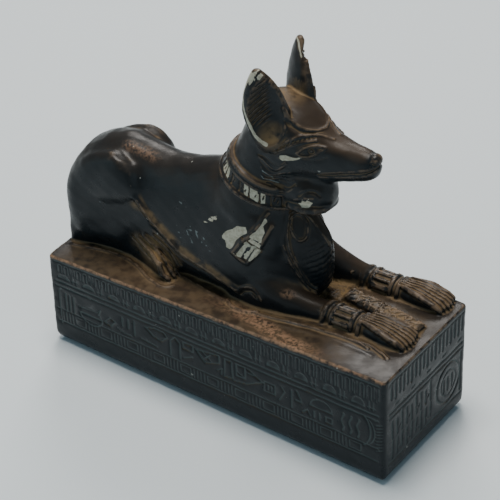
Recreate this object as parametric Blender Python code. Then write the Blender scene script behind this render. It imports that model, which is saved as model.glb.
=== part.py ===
"""A cast resin figurine: a jackal lying on a plinth carved with rows of signs.

Metres, +Z up. +X is the way the jackal faces, +Y its left side. The origin is at the middle of the
plinth's underside. The plinth's top rises toward the front, and the jackal lies on that slope.

The jackal is laid out on its own grid: x and y from the plinth's centre and h above the plinth's
top, with GRID_LENGTH steps from its rump to its toes.
"""
from math import cos, pi, radians, sin

import bmesh
import bpy
import numpy as np
from mathutils import Vector
from mathutils.bvhtree import BVHTree

# Plinth
PLINTH_LENGTH = 0.140
PLINTH_WIDTH = 0.0504
PLINTH_FRONT_HEIGHT = 0.0436
PLINTH_REAR_HEIGHT = 0.0372
FOOT_ROUNDING = 0.0042
CORNER_ROUNDING = 0.0016
TOP_ROUNDING = 0.0005
TOUCHING = 1e-6

# Carving on the plinth's sides
GROOVE_WIDTH = 0.0007
GROOVE_DEPTH = 0.0006
STROKE_WIDTH = 0.0009
CORNER_MARGIN = 0.0030
FRIEZE_PITCH = 0.0044
FRIEZE_NECK = 0.38
FRIEZE_BAR_DROP = 0.1
FRIEZE_BAR_REACH = 0.28
LADDER_PITCH = 0.0105
LADDER_GAP = 0.12
SIGN_PITCH = 0.0088
SIGN_MARGIN = 0.0050
SIGN_REACH = 0.3
LONG_LINES = (0.945, 0.700, 0.640, 0.375, 0.235)
LONG_FRIEZE = (0.735, 0.905)
LONG_SIGNS = (0.410, 0.600)
LADDER_BAND = (0.262, 0.350)
END_LINES = (0.906, 0.690, 0.600, 0.167)
END_FRIEZE = (0.775, 0.875)
END_SIGNS = (0.215, 0.550)

# Jackal
FIGURE_LENGTH = 0.1375
GRID_LENGTH = 137.5
GRID = FIGURE_LENGTH / GRID_LENGTH
CLAY_VOXEL = 0.6 * GRID
CLAY_SMOOTHING = 3
JACKAL_TRIANGLES = 5700
HEAD_LEVEL = 2.0
FAR_OUT = 40
END_SHARE = 0.5
END_REACH = 0.7
UPRIGHT = 0.2


def remove_everything():
    """Empty the scene, so that the script gives the same part from any start."""
    for thing in list(bpy.data.objects):
        bpy.data.objects.remove(thing, do_unlink=True)


def plinth_height(x):
    """Height of the plinth's top at x."""
    share = x / PLINTH_LENGTH + 0.5
    return PLINTH_REAR_HEIGHT + share * (PLINTH_FRONT_HEIGHT - PLINTH_REAR_HEIGHT)


def on_plinth(x, y, h):
    """The point at x, y and h above the plinth's top on the jackal's grid."""
    return Vector((x * GRID, y * GRID, plinth_height(x * GRID) + h * GRID))


def link(name, bm):
    """Make an object of a bmesh, with its faces pointing out."""
    bmesh.ops.recalc_face_normals(bm, faces=bm.faces)
    mesh = bpy.data.meshes.new(name)
    bm.to_mesh(mesh)
    bm.free()
    thing = bpy.data.objects.new(name, mesh)
    bpy.context.scene.collection.objects.link(thing)
    return thing


def oval(t, exponent):
    """Point at angle t on a unit superellipse; exponent 2 is an ellipse, more is squarer."""
    across = abs(cos(t)) ** (2 / exponent) * (1 if cos(t) >= 0 else -1)
    up = abs(sin(t)) ** (2 / exponent) * (1 if sin(t) >= 0 else -1)
    return across, up


def skin(bm, rings):
    """Skin a closed body over rings of points, with a pole at each end."""
    loops = [[bm.verts.new(point) for point in ring] for ring in rings]
    count = len(loops[0])
    for low, high in zip(loops, loops[1:]):
        for k in range(count):
            after = (k + 1) % count
            bm.faces.new((low[k], low[after], high[after], high[k]))
    for loop in (loops[0], loops[-1]):
        centre = sum((vert.co for vert in loop), Vector()) / count
        pole = bm.verts.new(centre)
        for k in range(count):
            bm.faces.new((loop[k], loop[(k + 1) % count], pole))


def body(bm, stations, sides=24, exponent=2.2, foot_exponent=None):
    """A body along x. A station is x, y, widest height, top, bottom and half width.

    Its lower half can have squarer sides than its upper half.
    """
    rings = []
    for x, y, middle, top, bottom, half in stations:
        ring = []
        for k in range(sides):
            t = 2 * pi * k / sides
            across, up = oval(t, foot_exponent if foot_exponent and sin(t) < 0 else exponent)
            rise = up * (top - middle if up >= 0 else middle - bottom)
            ring.append(on_plinth(x, y + across * half, middle + rise))
        rings.append(ring)
    skin(bm, rings)


def column(bm, stations, sides=24, exponent=2.0):
    """A body that climbs. A station is x, y, h, forward lean, half length and half width."""
    rings = []
    for x, y, h, lean, half_length, half_width in stations:
        ahead = Vector((cos(radians(lean)), 0, -sin(radians(lean))))
        ring = []
        for k in range(sides):
            across, along = oval(2 * pi * k / sides, exponent)
            offset = ahead * along * half_length
            ring.append(on_plinth(x + offset.x, y + across * half_width, h + offset.z))
        rings.append(ring)
    skin(bm, rings)


def rope(bm, points, sides=10):
    """A round cord laid along points of x, y, h and radius, with ends that taper to END_SHARE."""
    spots = [Vector(point[:3]) for point in points]
    radii = [point[3] for point in points]
    first = (spots[1] - spots[0]).normalized()
    last = (spots[-1] - spots[-2]).normalized()
    first *= radii[0] * END_REACH
    last *= radii[-1] * END_REACH
    spots = [spots[0] - first] + spots + [spots[-1] + last]
    radii = [radii[0] * END_SHARE] + radii + [radii[-1] * END_SHARE]
    rings = []
    for k, spot in enumerate(spots):
        along = spots[min(k + 1, len(spots) - 1)] - spots[max(k - 1, 0)]
        along.normalize()
        side = along.cross(Vector((0, 0, 1)))
        if side.length < UPRIGHT:
            side = along.cross(Vector((0, 1, 0)))
        side.normalize()
        other = along.cross(side)
        ring = []
        for j in range(sides):
            t = 2 * pi * j / sides
            point = spot + (side * cos(t) + other * sin(t)) * radii[k]
            ring.append(on_plinth(*point))
        rings.append(ring)
    skin(bm, rings)


def ball(bm, centre, radii, sides=20):
    """An ellipsoid with half sizes along x, y and h."""
    x, y, h = centre
    rings = []
    for k in range(1, sides // 2):
        t = 2 * pi * k / sides
        ring = []
        for j in range(sides):
            s = 2 * pi * j / sides
            spot = (x - radii[0] * cos(t), y + radii[1] * sin(t) * cos(s), h + radii[2] * sin(t) * sin(s))
            ring.append(on_plinth(*spot))
        rings.append(ring)
    skin(bm, rings)


# The jackal's forms, on its grid. A station of a long form is x, y, widest height, top, bottom and
# half width; of a climbing form x, y, h, forward lean, half length and half width. In a paired form
# y is the distance from the body's mid-line, which drifts to the left from the loins forward. The
# left upper arm is the fuller one.
MIDLINE = ((-31.0, 0.2), (-13.0, 1.2), (6.0, 2.4), (20.0, 3.8), (36.0, 7.9), (64.0, 7.6))
TRUNK = (
    (-69.9, 0.0, 20, 27, 4, 10.0),
    (-69.2, 0.0, 20, 32, -3, 13.8),
    (-65.5, 0.0, 21, 37.2, -3, 15.4),
    (-58.0, 0.0, 22, 41.6, -3, 14.2),
    (-50.0, 0.0, 22, 43.8, -3, 12.8),
    (-40.0, 0.0, 20, 42.0, -3, 12.0),
    (-31.0, 0.2, 17, 41.0, -3, 12.2),
    (-22.0, 0.6, 14, 42.2, -3, 13.2),
    (-13.0, 1.2, 13, 45.0, -3, 14.4),
    (-4.0, 1.8, 13, 48.5, -3, 15.6),
    (6.0, 2.4, 14, 48.0, -3, 15.8),
    (13.0, 3.0, 15, 45.0, -3, 14.0),
    (20.0, 3.3, 16, 37.8, -3, 9.0),
    (25.0, 3.4, 16, 31.8, 0, 5.6),
    (28.4, 3.4, 16, 27.8, 4, 4.0),
    (30.8, 3.6, 16, 24.0, 8, 2.0),
)
NECK = (
    (1.0, 2.0, 33.0, 12, 17.0, 14.5),
    (5.2, 2.0, 43.2, 18, 14.8, 12.5),
    (7.0, 2.0, 48.8, 22, 13.1, 11.6),
    (8.6, 2.0, 56.0, 18, 11.4, 11.0),
    (10.0, 2.0, 64.0, 12, 9.6, 10.2),
    (12.0, 2.0, 72.0, 8, 6.0, 7.0),
)
HEAD = (
    (1.4, 2.0, 66.0, 68.5, 63.5, 2.0),
    (3.0, 2.0, 66.0, 73.0, 58.5, 6.2),
    (7.0, 2.0, 66.0, 76.6, 54.0, 9.4),
    (12.0, 2.0, 65.5, 78.0, 51.5, 10.7),
    (18.0, 2.0, 65.0, 76.8, 50.1, 10.3),
    (23.5, 2.0, 64.5, 74.2, 49.6, 9.0),
    (28.0, 2.0, 63.5, 70.4, 49.6, 7.4),
    (32.0, 2.0, 62.5, 67.8, 50.2, 6.1),
    (36.5, 2.0, 61.5, 66.7, 51.4, 5.2),
    (41.5, 2.0, 61.0, 66.0, 53.0, 4.5),
    (45.5, 2.0, 60.8, 65.6, 54.6, 4.1),
    (48.2, 2.0, 60.8, 65.2, 55.8, 3.6),
    (49.7, 2.0, 61.2, 64.4, 57.6, 2.6),
    (50.2, 2.0, 61.5, 63.0, 60.0, 1.2),
)
HIP = (
    (-68.6, 8.2, 21, 27, 8, 4.2),
    (-66.5, 9.0, 22, 32, 10, 5.2),
    (-62.0, 9.6, 25, 36.5, 15, 5.2),
    (-56.5, 9.8, 27, 39.6, 18, 5.0),
    (-50.0, 10.2, 29, 41.4, 20, 4.6),
    (-45.0, 10.4, 30, 40.2, 22, 4.2),
    (-41.0, 10.0, 30, 37.0, 24, 3.6),
    (-38.5, 9.0, 30, 32.0, 28, 2.0),
)
SHANK = (
    (-69.8, 10.6, 3.0, 9.0, -2, 3.2),
    (-68.6, 10.0, 3.5, 12.0, -3, 4.4),
    (-60.0, 7.2, 4.0, 12.6, -3, 4.3),
    (-50.0, 6.5, 4.5, 13.4, -3, 4.1),
    (-41.0, 7.4, 5.0, 13.2, -3, 4.1),
    (-33.0, 9.8, 4.0, 10.8, -3, 4.3),
    (-27.5, 11.8, 3.0, 7.8, -3, 4.4),
    (-23.0, 12.6, 2.0, 4.0, -3, 3.6),
)
FORELEG = (
    (-4.0, 9.6, 2, 5, -3, 2.2),
    (-0.5, 9.6, 3, 10, -3, 4.6),
    (5.0, 9.6, 4, 15, -3, 5.6),
    (11.0, 9.8, 4, 15, -3, 6.2),
    (17.0, 10.0, 3, 11.0, -3, 5.6),
    (22.0, 10.5, 2, 8.0, -3, 4.9),
    (27.0, 11.0, 1.5, 6.6, -3, 4.4),
    (31.0, 11.5, 1, 5.8, -3, 4.1),
    (36.0, 11.9, 1, 5.2, -3, 4.0),
    (49.0, 11.6, 1, 5.0, -3, 4.0),
    (54.0, 11.7, 1, 4.6, -3, 4.6),
    (60.0, 12.0, 1, 3.8, -3, 5.0),
    (64.5, 12.2, 0.5, 2.0, -3, 4.6),
)
FAR_ARM = (
    (8.0, 13.6, 8, 19.0, -3, 3.6),
    (13.0, 14.0, 8, 20.4, -3, 4.8),
    (18.0, 14.6, 6, 18.2, -3, 5.3),
    (23.0, 15.2, 5, 13.6, -3, 4.9),
    (27.5, 16.0, 4, 10.8, -3, 4.7),
    (31.5, 17.6, 2, 8.0, -3, 4.4),
    (35.0, 19.2, 1, 5.8, -3, 4.0),
    (38.0, 19.6, 1, 4.4, -3, 3.6),
)
SHOULDER = ((5.0, 7.0, 25.0), (14.0, 8.4, 17.0))
CHEEK = ((15.5, 5.6, 58.5), (9.0, 4.8, 8.6))
HIP_POINT = ((-55.4, 11.2, 26.4), (4.6, 3.6, 3.8))
KNEE_POINT = ((-42.0, 11.0, 30.2), (3.6, 3.2, 3.4))
THROAT = (
    (6.0, 2.0, 44.0, 52.0, 36.0, 5.0),
    (14.0, 2.0, 44.0, 53.0, 38.2, 7.0),
    (20.0, 2.0, 45.0, 54.0, 38.6, 7.6),
    (26.0, 2.0, 45.0, 53.0, 38.8, 7.2),
    (30.6, 2.0, 45.0, 51.0, 39.2, 5.4),
    (33.0, 2.0, 44.5, 48.0, 41.0, 2.6),
)
SOFT_VOXEL = 1.0 * GRID
SOFT_SMOOTHING = 14

# Forms that keep their edges, laid on the softened body.
COLLAR = (
    (4.6, 2.0, 41.2, 17, 14.0, 12.0),
    (4.9, 2.0, 42.0, 17, 16.2, 14.0),
    (5.2, 2.0, 43.0, 18, 16.2, 13.9),
    (5.3, 2.0, 43.4, 18, 15.3, 13.1),
    (6.5, 2.0, 47.2, 21, 14.2, 12.5),
    (6.6, 2.0, 47.6, 21, 14.9, 13.2),
    (6.9, 2.0, 48.6, 22, 14.7, 13.1),
    (7.0, 2.0, 48.9, 22, 13.8, 12.3),
    (7.1, 2.0, 49.3, 22, 14.4, 12.9),
    (7.4, 2.0, 50.3, 22, 14.2, 12.7),
    (7.7, 2.0, 51.0, 22, 11.8, 10.6),
)
THROAT_KNOT = (
    (14.0, 2.0, 40.0, 42.0, 38.8, 5.2),
    (19.0, 2.0, 39.9, 42.8, 38.3, 7.3),
    (25.0, 2.0, 39.9, 42.8, 38.2, 7.4),
    (29.0, 2.0, 40.1, 42.8, 38.3, 6.2),
    (31.4, 2.0, 40.5, 42.8, 39.0, 4.2),
    (32.4, 2.0, 41.0, 42.4, 39.8, 2.2),
)
NOSE = ((47.9, 2.0, 63.1), (2.4, 2.8, 2.4))
CUFF_BAND = (38.6, 44.4)
CUFF = (
    (33.6, 11.8, 1, 4.2, -3, 3.2),
    (34.0, 11.8, 1, 5.7, -3, 4.9),
    (35.2, 11.8, 1, 5.7, -3, 4.9),
    (35.6, 11.8, 1, 4.9, -3, 4.1),
    (36.7, 11.8, 1, 4.9, -3, 4.1),
    (37.1, 11.8, 1, 5.6, -3, 4.8),
    (38.2, 11.8, 1, 5.6, -3, 4.8),
    (38.6, 11.8, 1, 4.9, -3, 4.1),
    (44.4, 11.8, 1, 4.9, -3, 4.1),
    (44.8, 11.8, 1, 5.6, -3, 4.8),
    (45.9, 11.8, 1, 5.6, -3, 4.8),
    (46.3, 11.8, 1, 4.9, -3, 4.1),
    (47.3, 11.8, 1, 4.9, -3, 4.1),
    (47.7, 11.8, 1, 5.7, -3, 4.9),
    (48.9, 11.8, 1, 5.7, -3, 4.9),
    (49.3, 11.8, 1, 4.2, -3, 3.4),
)
PLAQUE = (
    (21.0, 9.2, -1, 2.4, -3, 5.0),
    (33.4, 8.4, -1, 1.4, -3, 5.6),
    (34.0, 8.3, -1, 2.5, -3, 3.3),
    (64.0, 3.4, -1, 1.9, -3, 3.6),
    (64.9, 3.2, -1, 1.4, -3, 3.4),
)
EAR = (
    (14.0, 7.0, 61.0, 4.6, 4.2),
    (14.4, 8.0, 66.0, 6.4, 5.2),
    (14.0, 9.0, 71.0, 7.4, 5.0),
    (13.2, 9.8, 76.5, 7.5, 4.3),
    (12.7, 10.4, 82.0, 6.3, 3.3),
    (12.2, 11.0, 86.5, 4.5, 2.4),
    (11.8, 11.6, 90.0, 2.6, 1.6),
    (11.6, 11.9, 92.0, 1.1, 0.9),
)
EAR_TURN = 35
EAR_SIDES = 28
EAR_HOLLOW_STEPS = 16
EAR_HOLLOW = (13.8, 9.9, 77.4)
EAR_HOLLOW_OUT = 4.4
EAR_HOLLOW_SIZE = (6.6, 4.4, 13.0)
TAIL = (
    (-66.6, 1.0, 25.0, 2.6),
    (-66.8, 5.0, 14.0, 2.8),
    (-65.6, 12.5, 3.5, 3.0),
    (-59.0, 18.2, 0.2, 3.4),
    (-47.0, 18.8, 0.2, 3.3),
    (-37.0, 18.6, 0.2, 3.1),
    (-27.0, 18.4, 0.1, 2.4),
)
TOES_FRONT = (50.0, 66.6, 11.6, 8.6, 4.8, 1.9, 1.2, 6)
TOES_HIND = (-31.0, -22.4, 12.9, 6.4, 8.4, 1.6, 1.3, 4)
TOE_FAN = 0.62
TOE_SHORTER = 2.4
TOE_ROOT = 0.8
TOE_ARCH = 1.2
TOE_BEND = 2.5
FLUTE_COUNT = 5
CUFF_MIDDLE = (11.8, 1.0)
FLUTE_REACH = 4.0
FLUTE_RADIUS = 0.6

# Lines carved in the skin, as points x and h seen from the side, with a width and a height.
# A positive height stands proud, a negative one is cut in.
HEAD_LINES = (
    (((24.2, 63.2), (25.8, 65.1), (28.0, 66.6), (30.6, 67.2), (32.4, 67.0)), 0.6, 0.45),
    (((24.2, 63.2), (26.6, 63.4), (29.4, 64.8), (32.4, 67.0)), 0.6, 0.40),
    (((25.0, 63.4), (27.4, 65.1), (30.2, 66.3)), 0.9, -0.35),
    (((18.6, 60.2), (22.6, 61.6), (24.2, 63.2)), 0.9, 0.40),
    (((20.4, 64.8), (23.4, 67.4), (27.2, 69.0), (31.0, 69.2), (34.0, 68.0)), 0.9, 0.60),
    (((29.0, 54.4), (34.0, 56.3), (39.6, 58.2), (44.8, 60.0), (49.4, 61.3)), 0.7, -0.60),
    (((30.0, 52.8), (36.0, 54.6), (42.0, 56.4), (48.0, 58.6)), 0.7, 0.35),
    (((47.2, 63.6), (49.0, 62.9), (49.9, 61.9)), 0.7, -0.60),
    (((14.0, 55.0), (17.5, 53.2), (21.5, 53.4)), 0.9, 0.50),
    (((11.5, 58.0), (15.0, 56.4), (19.5, 56.8)), 0.9, 0.45),
)
FLANK_LINES = (
    (((-39.5, 27.5), (-34.1, 21.5), (-28.9, 17.5), (-24.8, 14.9), (-20.3, 12.0), (-14.9, 10.6)), 1.3, 1.1),
    (((-14.9, 10.6), (-7.5, 9.0), (-1.2, 6.4), (3.0, 4.6)), 1.3, 1.1),
    (((-33.0, 18.2), (-24.0, 12.2), (-20.0, 9.4), (-15.0, 8.0), (-8.0, 6.4), (-2.0, 4.0)), 1.0, -0.7),
)
SASH_LINES = (
    (((13.5, 36.8), (9.9, 29.8), (5.4, 25.0), (2.4, 20.2)), 0.9, 0.60),
    (((2.4, 20.2), (5.0, 18.6), (7.6, 17.3)), 0.9, 0.60),
    (((7.6, 17.3), (10.7, 21.9), (13.3, 27.3), (15.2, 32.4)), 0.9, 0.60),
    (((6.4, 26.8), (9.6, 25.0), (12.4, 23.0)), 0.8, -0.50),
)


def midline(x):
    """The y of the body's middle at x."""
    places = [place for place, level in MIDLINE]
    levels = [level for place, level in MIDLINE]
    return float(np.interp(x, places, levels))


def paired(stations, side):
    """Stations of one side of the body, put on the left (side 1) or the right (side -1)."""
    return [(s[0], midline(s[0]) + side * s[1]) + tuple(s[2:]) for s in stations]


def curved(points, steps=5):
    """A smooth run through the points."""
    spots = [np.array(point, float) for point in points]
    spots = [2 * spots[0] - spots[1]] + spots + [2 * spots[-1] - spots[-2]]
    run = []
    for k in range(1, len(spots) - 2):
        a, b, c, d = spots[k - 1:k + 3]
        for j in range(steps):
            t = j / steps
            run.append(b + 0.5 * t * (c - a + t * (2 * a - 5 * b + 4 * c - d + t * (3 * (b - c) + d - a))))
    run.append(spots[-2])
    return [tuple(float(value) for value in spot) for spot in run]


def ear(side):
    """One ear: a leaf standing on the skull, hollowed toward the front and its own side."""
    turn = radians(EAR_TURN)
    wide = Vector((cos(turn), -side * sin(turn), 0))
    open_way = Vector((sin(turn), side * cos(turn), 0))

    def disc(centre, half_wide, half_deep, h):
        ring = []
        for k in range(EAR_SIDES):
            t = 2 * pi * k / EAR_SIDES
            spot = centre + wide * half_wide * cos(t) + open_way * half_deep * sin(t)
            ring.append(on_plinth(spot.x, spot.y, h))
        return ring

    leaf = bmesh.new()
    rings = [disc(Vector((x, HEAD_LEVEL + side * y, 0)), w, d, h) for x, y, h, w, d in curved(EAR, 2)]
    skin(leaf, rings)
    shell = link("ear", leaf)
    x, y, h = EAR_HOLLOW
    centre = Vector((x, HEAD_LEVEL + side * y, 0)) + open_way * EAR_HOLLOW_OUT
    half_wide, half_deep, half_high = EAR_HOLLOW_SIZE
    hollow = bmesh.new()
    rings = []
    for k in range(1, EAR_HOLLOW_STEPS):
        t = pi * k / EAR_HOLLOW_STEPS
        rings.append(disc(centre, half_wide * sin(t), half_deep * sin(t), h - half_high * cos(t)))
    skin(hollow, rings)
    cut(shell, link("ear_hollow", hollow))
    return shell


def cut(thing, cutter, operation="DIFFERENCE"):
    """Apply a Boolean with the cutter, then delete the cutter."""
    modifier = thing.modifiers.new(operation.lower(), "BOOLEAN")
    modifier.operation = operation
    modifier.solver = "EXACT"
    modifier.object = cutter
    freeze(thing)
    bpy.data.objects.remove(cutter, do_unlink=True)


def freeze(thing):
    """Replace the object's mesh by what its modifiers make of it."""
    bpy.context.view_layer.update()
    graph = bpy.context.evaluated_depsgraph_get()
    mesh = bpy.data.meshes.new_from_object(thing.evaluated_get(graph))
    thing.modifiers.clear()
    thing.data = mesh


def toes(bm, sizes, side, level):
    """Long toes side by side, from start to end of a foot, the outer ones shorter."""
    x_start, x_end, y_middle, foot_width, h_start, h_end, radius, count = sizes
    for k in range(count):
        share = k / (count - 1) - 0.5
        y_start = level + side * y_middle + share * foot_width * TOE_FAN
        y = level + side * y_middle + share * foot_width
        tip = x_end - abs(share) * TOE_SHORTER
        middle = (x_start + tip) / 2
        rope(bm, (
            (x_start, y_start, h_start, radius * TOE_ROOT),
            (middle, y, (h_start + h_end + TOE_ARCH) / 2, radius),
            (tip - TOE_BEND, y, h_end + TOE_ARCH / 2, radius),
            (tip, y, h_end - TOE_ARCH / 2, radius * TOE_ROOT),
        ), sides=8)


def flutes(bm, level, side):
    """Raised bars along a cuff, between its two pairs of rings."""
    y_middle, h_middle = CUFF_MIDDLE
    for k in range(FLUTE_COUNT):
        t = pi * (k + 0.5) / FLUTE_COUNT
        y = level + side * (y_middle + FLUTE_REACH * cos(t))
        h = h_middle + FLUTE_REACH * sin(t)
        rope(bm, [(x, y, h, FLUTE_RADIUS) for x in CUFF_BAND], sides=6)


def soft_clay():
    """The trunk, limbs, neck and head, run together and softened as one body."""
    bm = bmesh.new()
    body(bm, TRUNK, sides=40, exponent=2.1, foot_exponent=2.6)
    column(bm, NECK, sides=32)
    body(bm, HEAD, sides=32, exponent=2.35)
    body(bm, THROAT, sides=32)
    body(bm, FAR_ARM, foot_exponent=5)
    for side in (1, -1):
        body(bm, paired(HIP, side))
        body(bm, paired(SHANK, side), foot_exponent=5)
        body(bm, paired(FORELEG, side), foot_exponent=5)
        for centre, radii in (SHOULDER, HIP_POINT, KNEE_POINT):
            x, y, h = centre
            ball(bm, (x, midline(x) + side * y, h), radii)
        centre, radii = CHEEK
        ball(bm, (centre[0], HEAD_LEVEL + side * centre[1], centre[2]), radii)
    clay = link("jackal_figurine", bm)
    fuse(clay, SOFT_VOXEL, SOFT_SMOOTHING)
    return clay


def jackal_clay():
    """The softened body with its collar, knot, plaque, nose, tail, cuffs, toes and ears laid on."""
    clay = soft_clay()
    bm = bmesh.new()
    bm.from_mesh(clay.data)
    column(bm, COLLAR, sides=48)
    body(bm, THROAT_KNOT, exponent=2.2, foot_exponent=6)
    body(bm, PLAQUE, exponent=4)
    ball(bm, *NOSE)
    rope(bm, curved(TAIL, 3), sides=14)
    for side in (1, -1):
        body(bm, paired(CUFF, side), foot_exponent=5)
        toes(bm, TOES_FRONT, side, midline(TOES_FRONT[0]))
        toes(bm, TOES_HIND, side, midline(TOES_HIND[0]))
        flutes(bm, midline(CUFF[0][0]), side)
        shell = ear(side)
        bm.from_mesh(shell.data)
        bpy.data.objects.remove(shell, do_unlink=True)
    bpy.data.objects.remove(clay, do_unlink=True)
    clay = link("jackal_figurine", bm)
    fuse(clay, CLAY_VOXEL, CLAY_SMOOTHING)
    return clay


def fuse(clay, voxel, smoothing):
    """Run the overlapping forms into one skin and soften where they meet."""
    remesh = clay.modifiers.new("fuse", "REMESH")
    remesh.mode = "VOXEL"
    remesh.voxel_size = voxel
    smooth = clay.modifiers.new("soften", "SMOOTH")
    smooth.factor = 0.5
    smooth.iterations = smoothing
    freeze(clay)
    keep_outer_skin(clay)


def keep_outer_skin(clay):
    """Delete the small closed bubbles that the fusing can leave inside."""
    bm = bmesh.new()
    bm.from_mesh(clay.data)
    waiting = set(bm.verts)
    islands = []
    while waiting:
        front = [waiting.pop()]
        island = list(front)
        while front:
            vert = front.pop()
            for edge in vert.link_edges:
                other = edge.other_vert(vert)
                if other in waiting:
                    waiting.remove(other)
                    front.append(other)
                    island.append(other)
        islands.append(island)
    islands.sort(key=len)
    for island in islands[:-1]:
        bmesh.ops.delete(bm, geom=island, context="VERTS")
    bm.to_mesh(clay.data)
    bm.free()


def carve_lines(clay, lines, sides):
    """Raise or cut lines in the skin where each line, seen from a side, meets it."""
    bm = bmesh.new()
    bm.from_mesh(clay.data)
    bm.normal_update()
    tree = BVHTree.FromBMesh(bm)
    spots = np.array([vert.co for vert in bm.verts]) / GRID
    shift = np.zeros(len(spots))
    for side in sides:
        for points, width, height in lines:
            run = []
            for x, h in curved(points, 6):
                start = on_plinth(x, midline(x) + side * FAR_OUT, h)
                hit = tree.ray_cast(start, Vector((0, -side, 0)))[0]
                if hit:
                    run.append(np.array(hit) / GRID)
            for spot, after in zip(run, run[1:]):
                along = after - spot
                share = np.clip((spots - spot) @ along / (along @ along), 0, 1)
                gap = np.linalg.norm(spots - spot - share[:, None] * along, axis=1)
                push = height * np.exp(-(gap / width) ** 2)
                stronger = np.abs(push) > np.abs(shift)
                shift = np.where(stronger, push, shift)
    for vert, push in zip(bm.verts, shift):
        vert.co += vert.normal * float(push) * GRID
    bm.to_mesh(clay.data)
    bm.free()


def thin_out(clay):
    """Bring the skin down to the triangles that its shape needs."""
    count = sum(len(face.vertices) - 2 for face in clay.data.polygons)
    decimate = clay.modifiers.new("facets", "DECIMATE")
    decimate.ratio = JACKAL_TRIANGLES / count
    decimate.use_collapse_triangulate = True
    freeze(clay)


def plinth_corner(u, y, v):
    """A point of the plinth at share u of its length, y across and share v of its height there."""
    x = (u - 0.5) * PLINTH_LENGTH
    return Vector((x, y, v * plinth_height(x)))


def on_top(point):
    """Whether a point lies on the plinth's top."""
    return abs(point.z - plinth_height(point.x)) < TOUCHING


def plinth():
    """The plinth, with its edges rounded: most at the foot, least round the top."""
    bm = bmesh.new()
    half = PLINTH_WIDTH / 2
    corners = ((0, -half), (1, -half), (1, half), (0, half))
    low = [bm.verts.new(plinth_corner(u, y, 0)) for u, y in corners]
    high = [bm.verts.new(plinth_corner(u, y, 1)) for u, y in corners]
    bm.faces.new(low[::-1])
    bm.faces.new(high)
    for k in range(4):
        after = (k + 1) % 4
        bm.faces.new((low[k], low[after], high[after], high[k]))
    upright = [edge for edge in bm.edges if (edge.verts[0] in low) != (edge.verts[1] in low)]
    bmesh.ops.bevel(bm, geom=upright, offset=CORNER_ROUNDING, segments=2, affect="EDGES", profile=0.5)
    bottom = [edge for edge in bm.edges if all(vert.co.z < TOUCHING for vert in edge.verts)]
    bmesh.ops.bevel(bm, geom=bottom, offset=FOOT_ROUNDING, segments=3, affect="EDGES", profile=0.5)
    top = [edge for edge in bm.edges if all(on_top(vert.co) for vert in edge.verts)]
    bmesh.ops.bevel(bm, geom=top, offset=TOP_ROUNDING, segments=1, affect="EDGES", profile=0.5)
    return link("plinth", bm)


def side_frame(side):
    """Length of one of the plinth's sides, and the function that places its carving.

    The function takes s along the side from its left end as seen from outside, the share v of
    the height and the distance out of the face.
    """
    half_length = PLINTH_LENGTH / 2
    half_width = PLINTH_WIDTH / 2
    if side in ("right", "left"):
        way = 1 if side == "right" else -1

        def place(s, v, out):
            x = way * (s - half_length)
            return Vector((x, -way * (half_width + out), v * plinth_height(x)))

        return PLINTH_LENGTH, place
    way = 1 if side == "front" else -1

    def place(s, v, out):
        x = way * half_length
        return Vector((x + way * out, way * (s - half_width), v * plinth_height(x)))

    return PLINTH_WIDTH, place


def stroke(bm, place, start, end, width):
    """A straight shallow cut from start to end, each a pair of s and height share v."""
    (s0, v0), (s1, v1) = start, end
    scale = place(0, 1, 0).z
    along = Vector((s1 - s0, (v1 - v0) * scale)).normalized()
    across = Vector((-along.y, along.x)) * width / 2
    corners = []
    for s, v, way in ((s0, v0, -1), (s1, v1, -1), (s1, v1, 1), (s0, v0, 1)):
        corners.append((s + way * across.x, v + way * across.y / scale))
    inner = [bm.verts.new(place(s, v, -GROOVE_DEPTH)) for s, v in corners]
    outer = [bm.verts.new(place(s, v, GROOVE_DEPTH)) for s, v in corners]
    bm.faces.new(inner[::-1])
    bm.faces.new(outer)
    for k in range(4):
        after = (k + 1) % 4
        bm.faces.new((inner[k], inner[after], outer[after], outer[k]))


def rows(bm, place, length, lines):
    """Lines that part the rows: under the rim, over and under the signs, and at the ladder's foot."""
    for v in lines:
        stroke(bm, place, (CORNER_MARGIN, v), (length - CORNER_MARGIN, v), GROOVE_WIDTH)


def spread(length, pitch, margin):
    """Evenly spaced places along a side, as near to the pitch as fits."""
    count = max(1, round((length - 2 * margin) / pitch))
    step = (length - 2 * margin) / count
    return [margin + step * (k + 0.5) for k in range(count)], step


def frieze(bm, place, length, band):
    """The row of upright marks under the rim, every third one crossed by a short bar."""
    low, high = band
    neck = low + (high - low) * FRIEZE_NECK
    bar = high - (high - low) * FRIEZE_BAR_DROP
    places, step = spread(length, FRIEZE_PITCH, CORNER_MARGIN)
    reach = step * FRIEZE_BAR_REACH
    for k, s in enumerate(places):
        if k % 3 == 2:
            stroke(bm, place, (s, low), (s, neck), STROKE_WIDTH)
            stroke(bm, place, (s - reach, bar), (s + reach, bar), STROKE_WIDTH)
        else:
            stroke(bm, place, (s, low), (s, high), STROKE_WIDTH)


def signs(bm, place, length, band):
    """The broad row: plain strokes and bars in changing order, inside a long frame."""
    low, high = band
    third = (high - low) / 3
    places, step = spread(length, SIGN_PITCH, SIGN_MARGIN)
    reach = step * SIGN_REACH

    def mark(s0, v0, s1, v1):
        stroke(bm, place, (s + s0 * reach, v0), (s + s1 * reach, v1), STROKE_WIDTH)

    for k, s in enumerate(places):
        kind = k % 5
        if kind in (0, 3):
            mark(-1, low, -1, high)
            mark(0.2, low, 0.2, high)
        if kind in (1, 4):
            mark(-1, high - third / 3, 1, high - third / 3)
            mark(-1, low + third / 3, 1, low + third / 3)
        if kind in (1, 2):
            mark(-0.5, low + third, 0.5, high - third)
        if kind == 2:
            mark(1, low, 1, high)
        if kind == 3:
            mark(0.8, low + third, 1.4, low + third)


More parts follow.
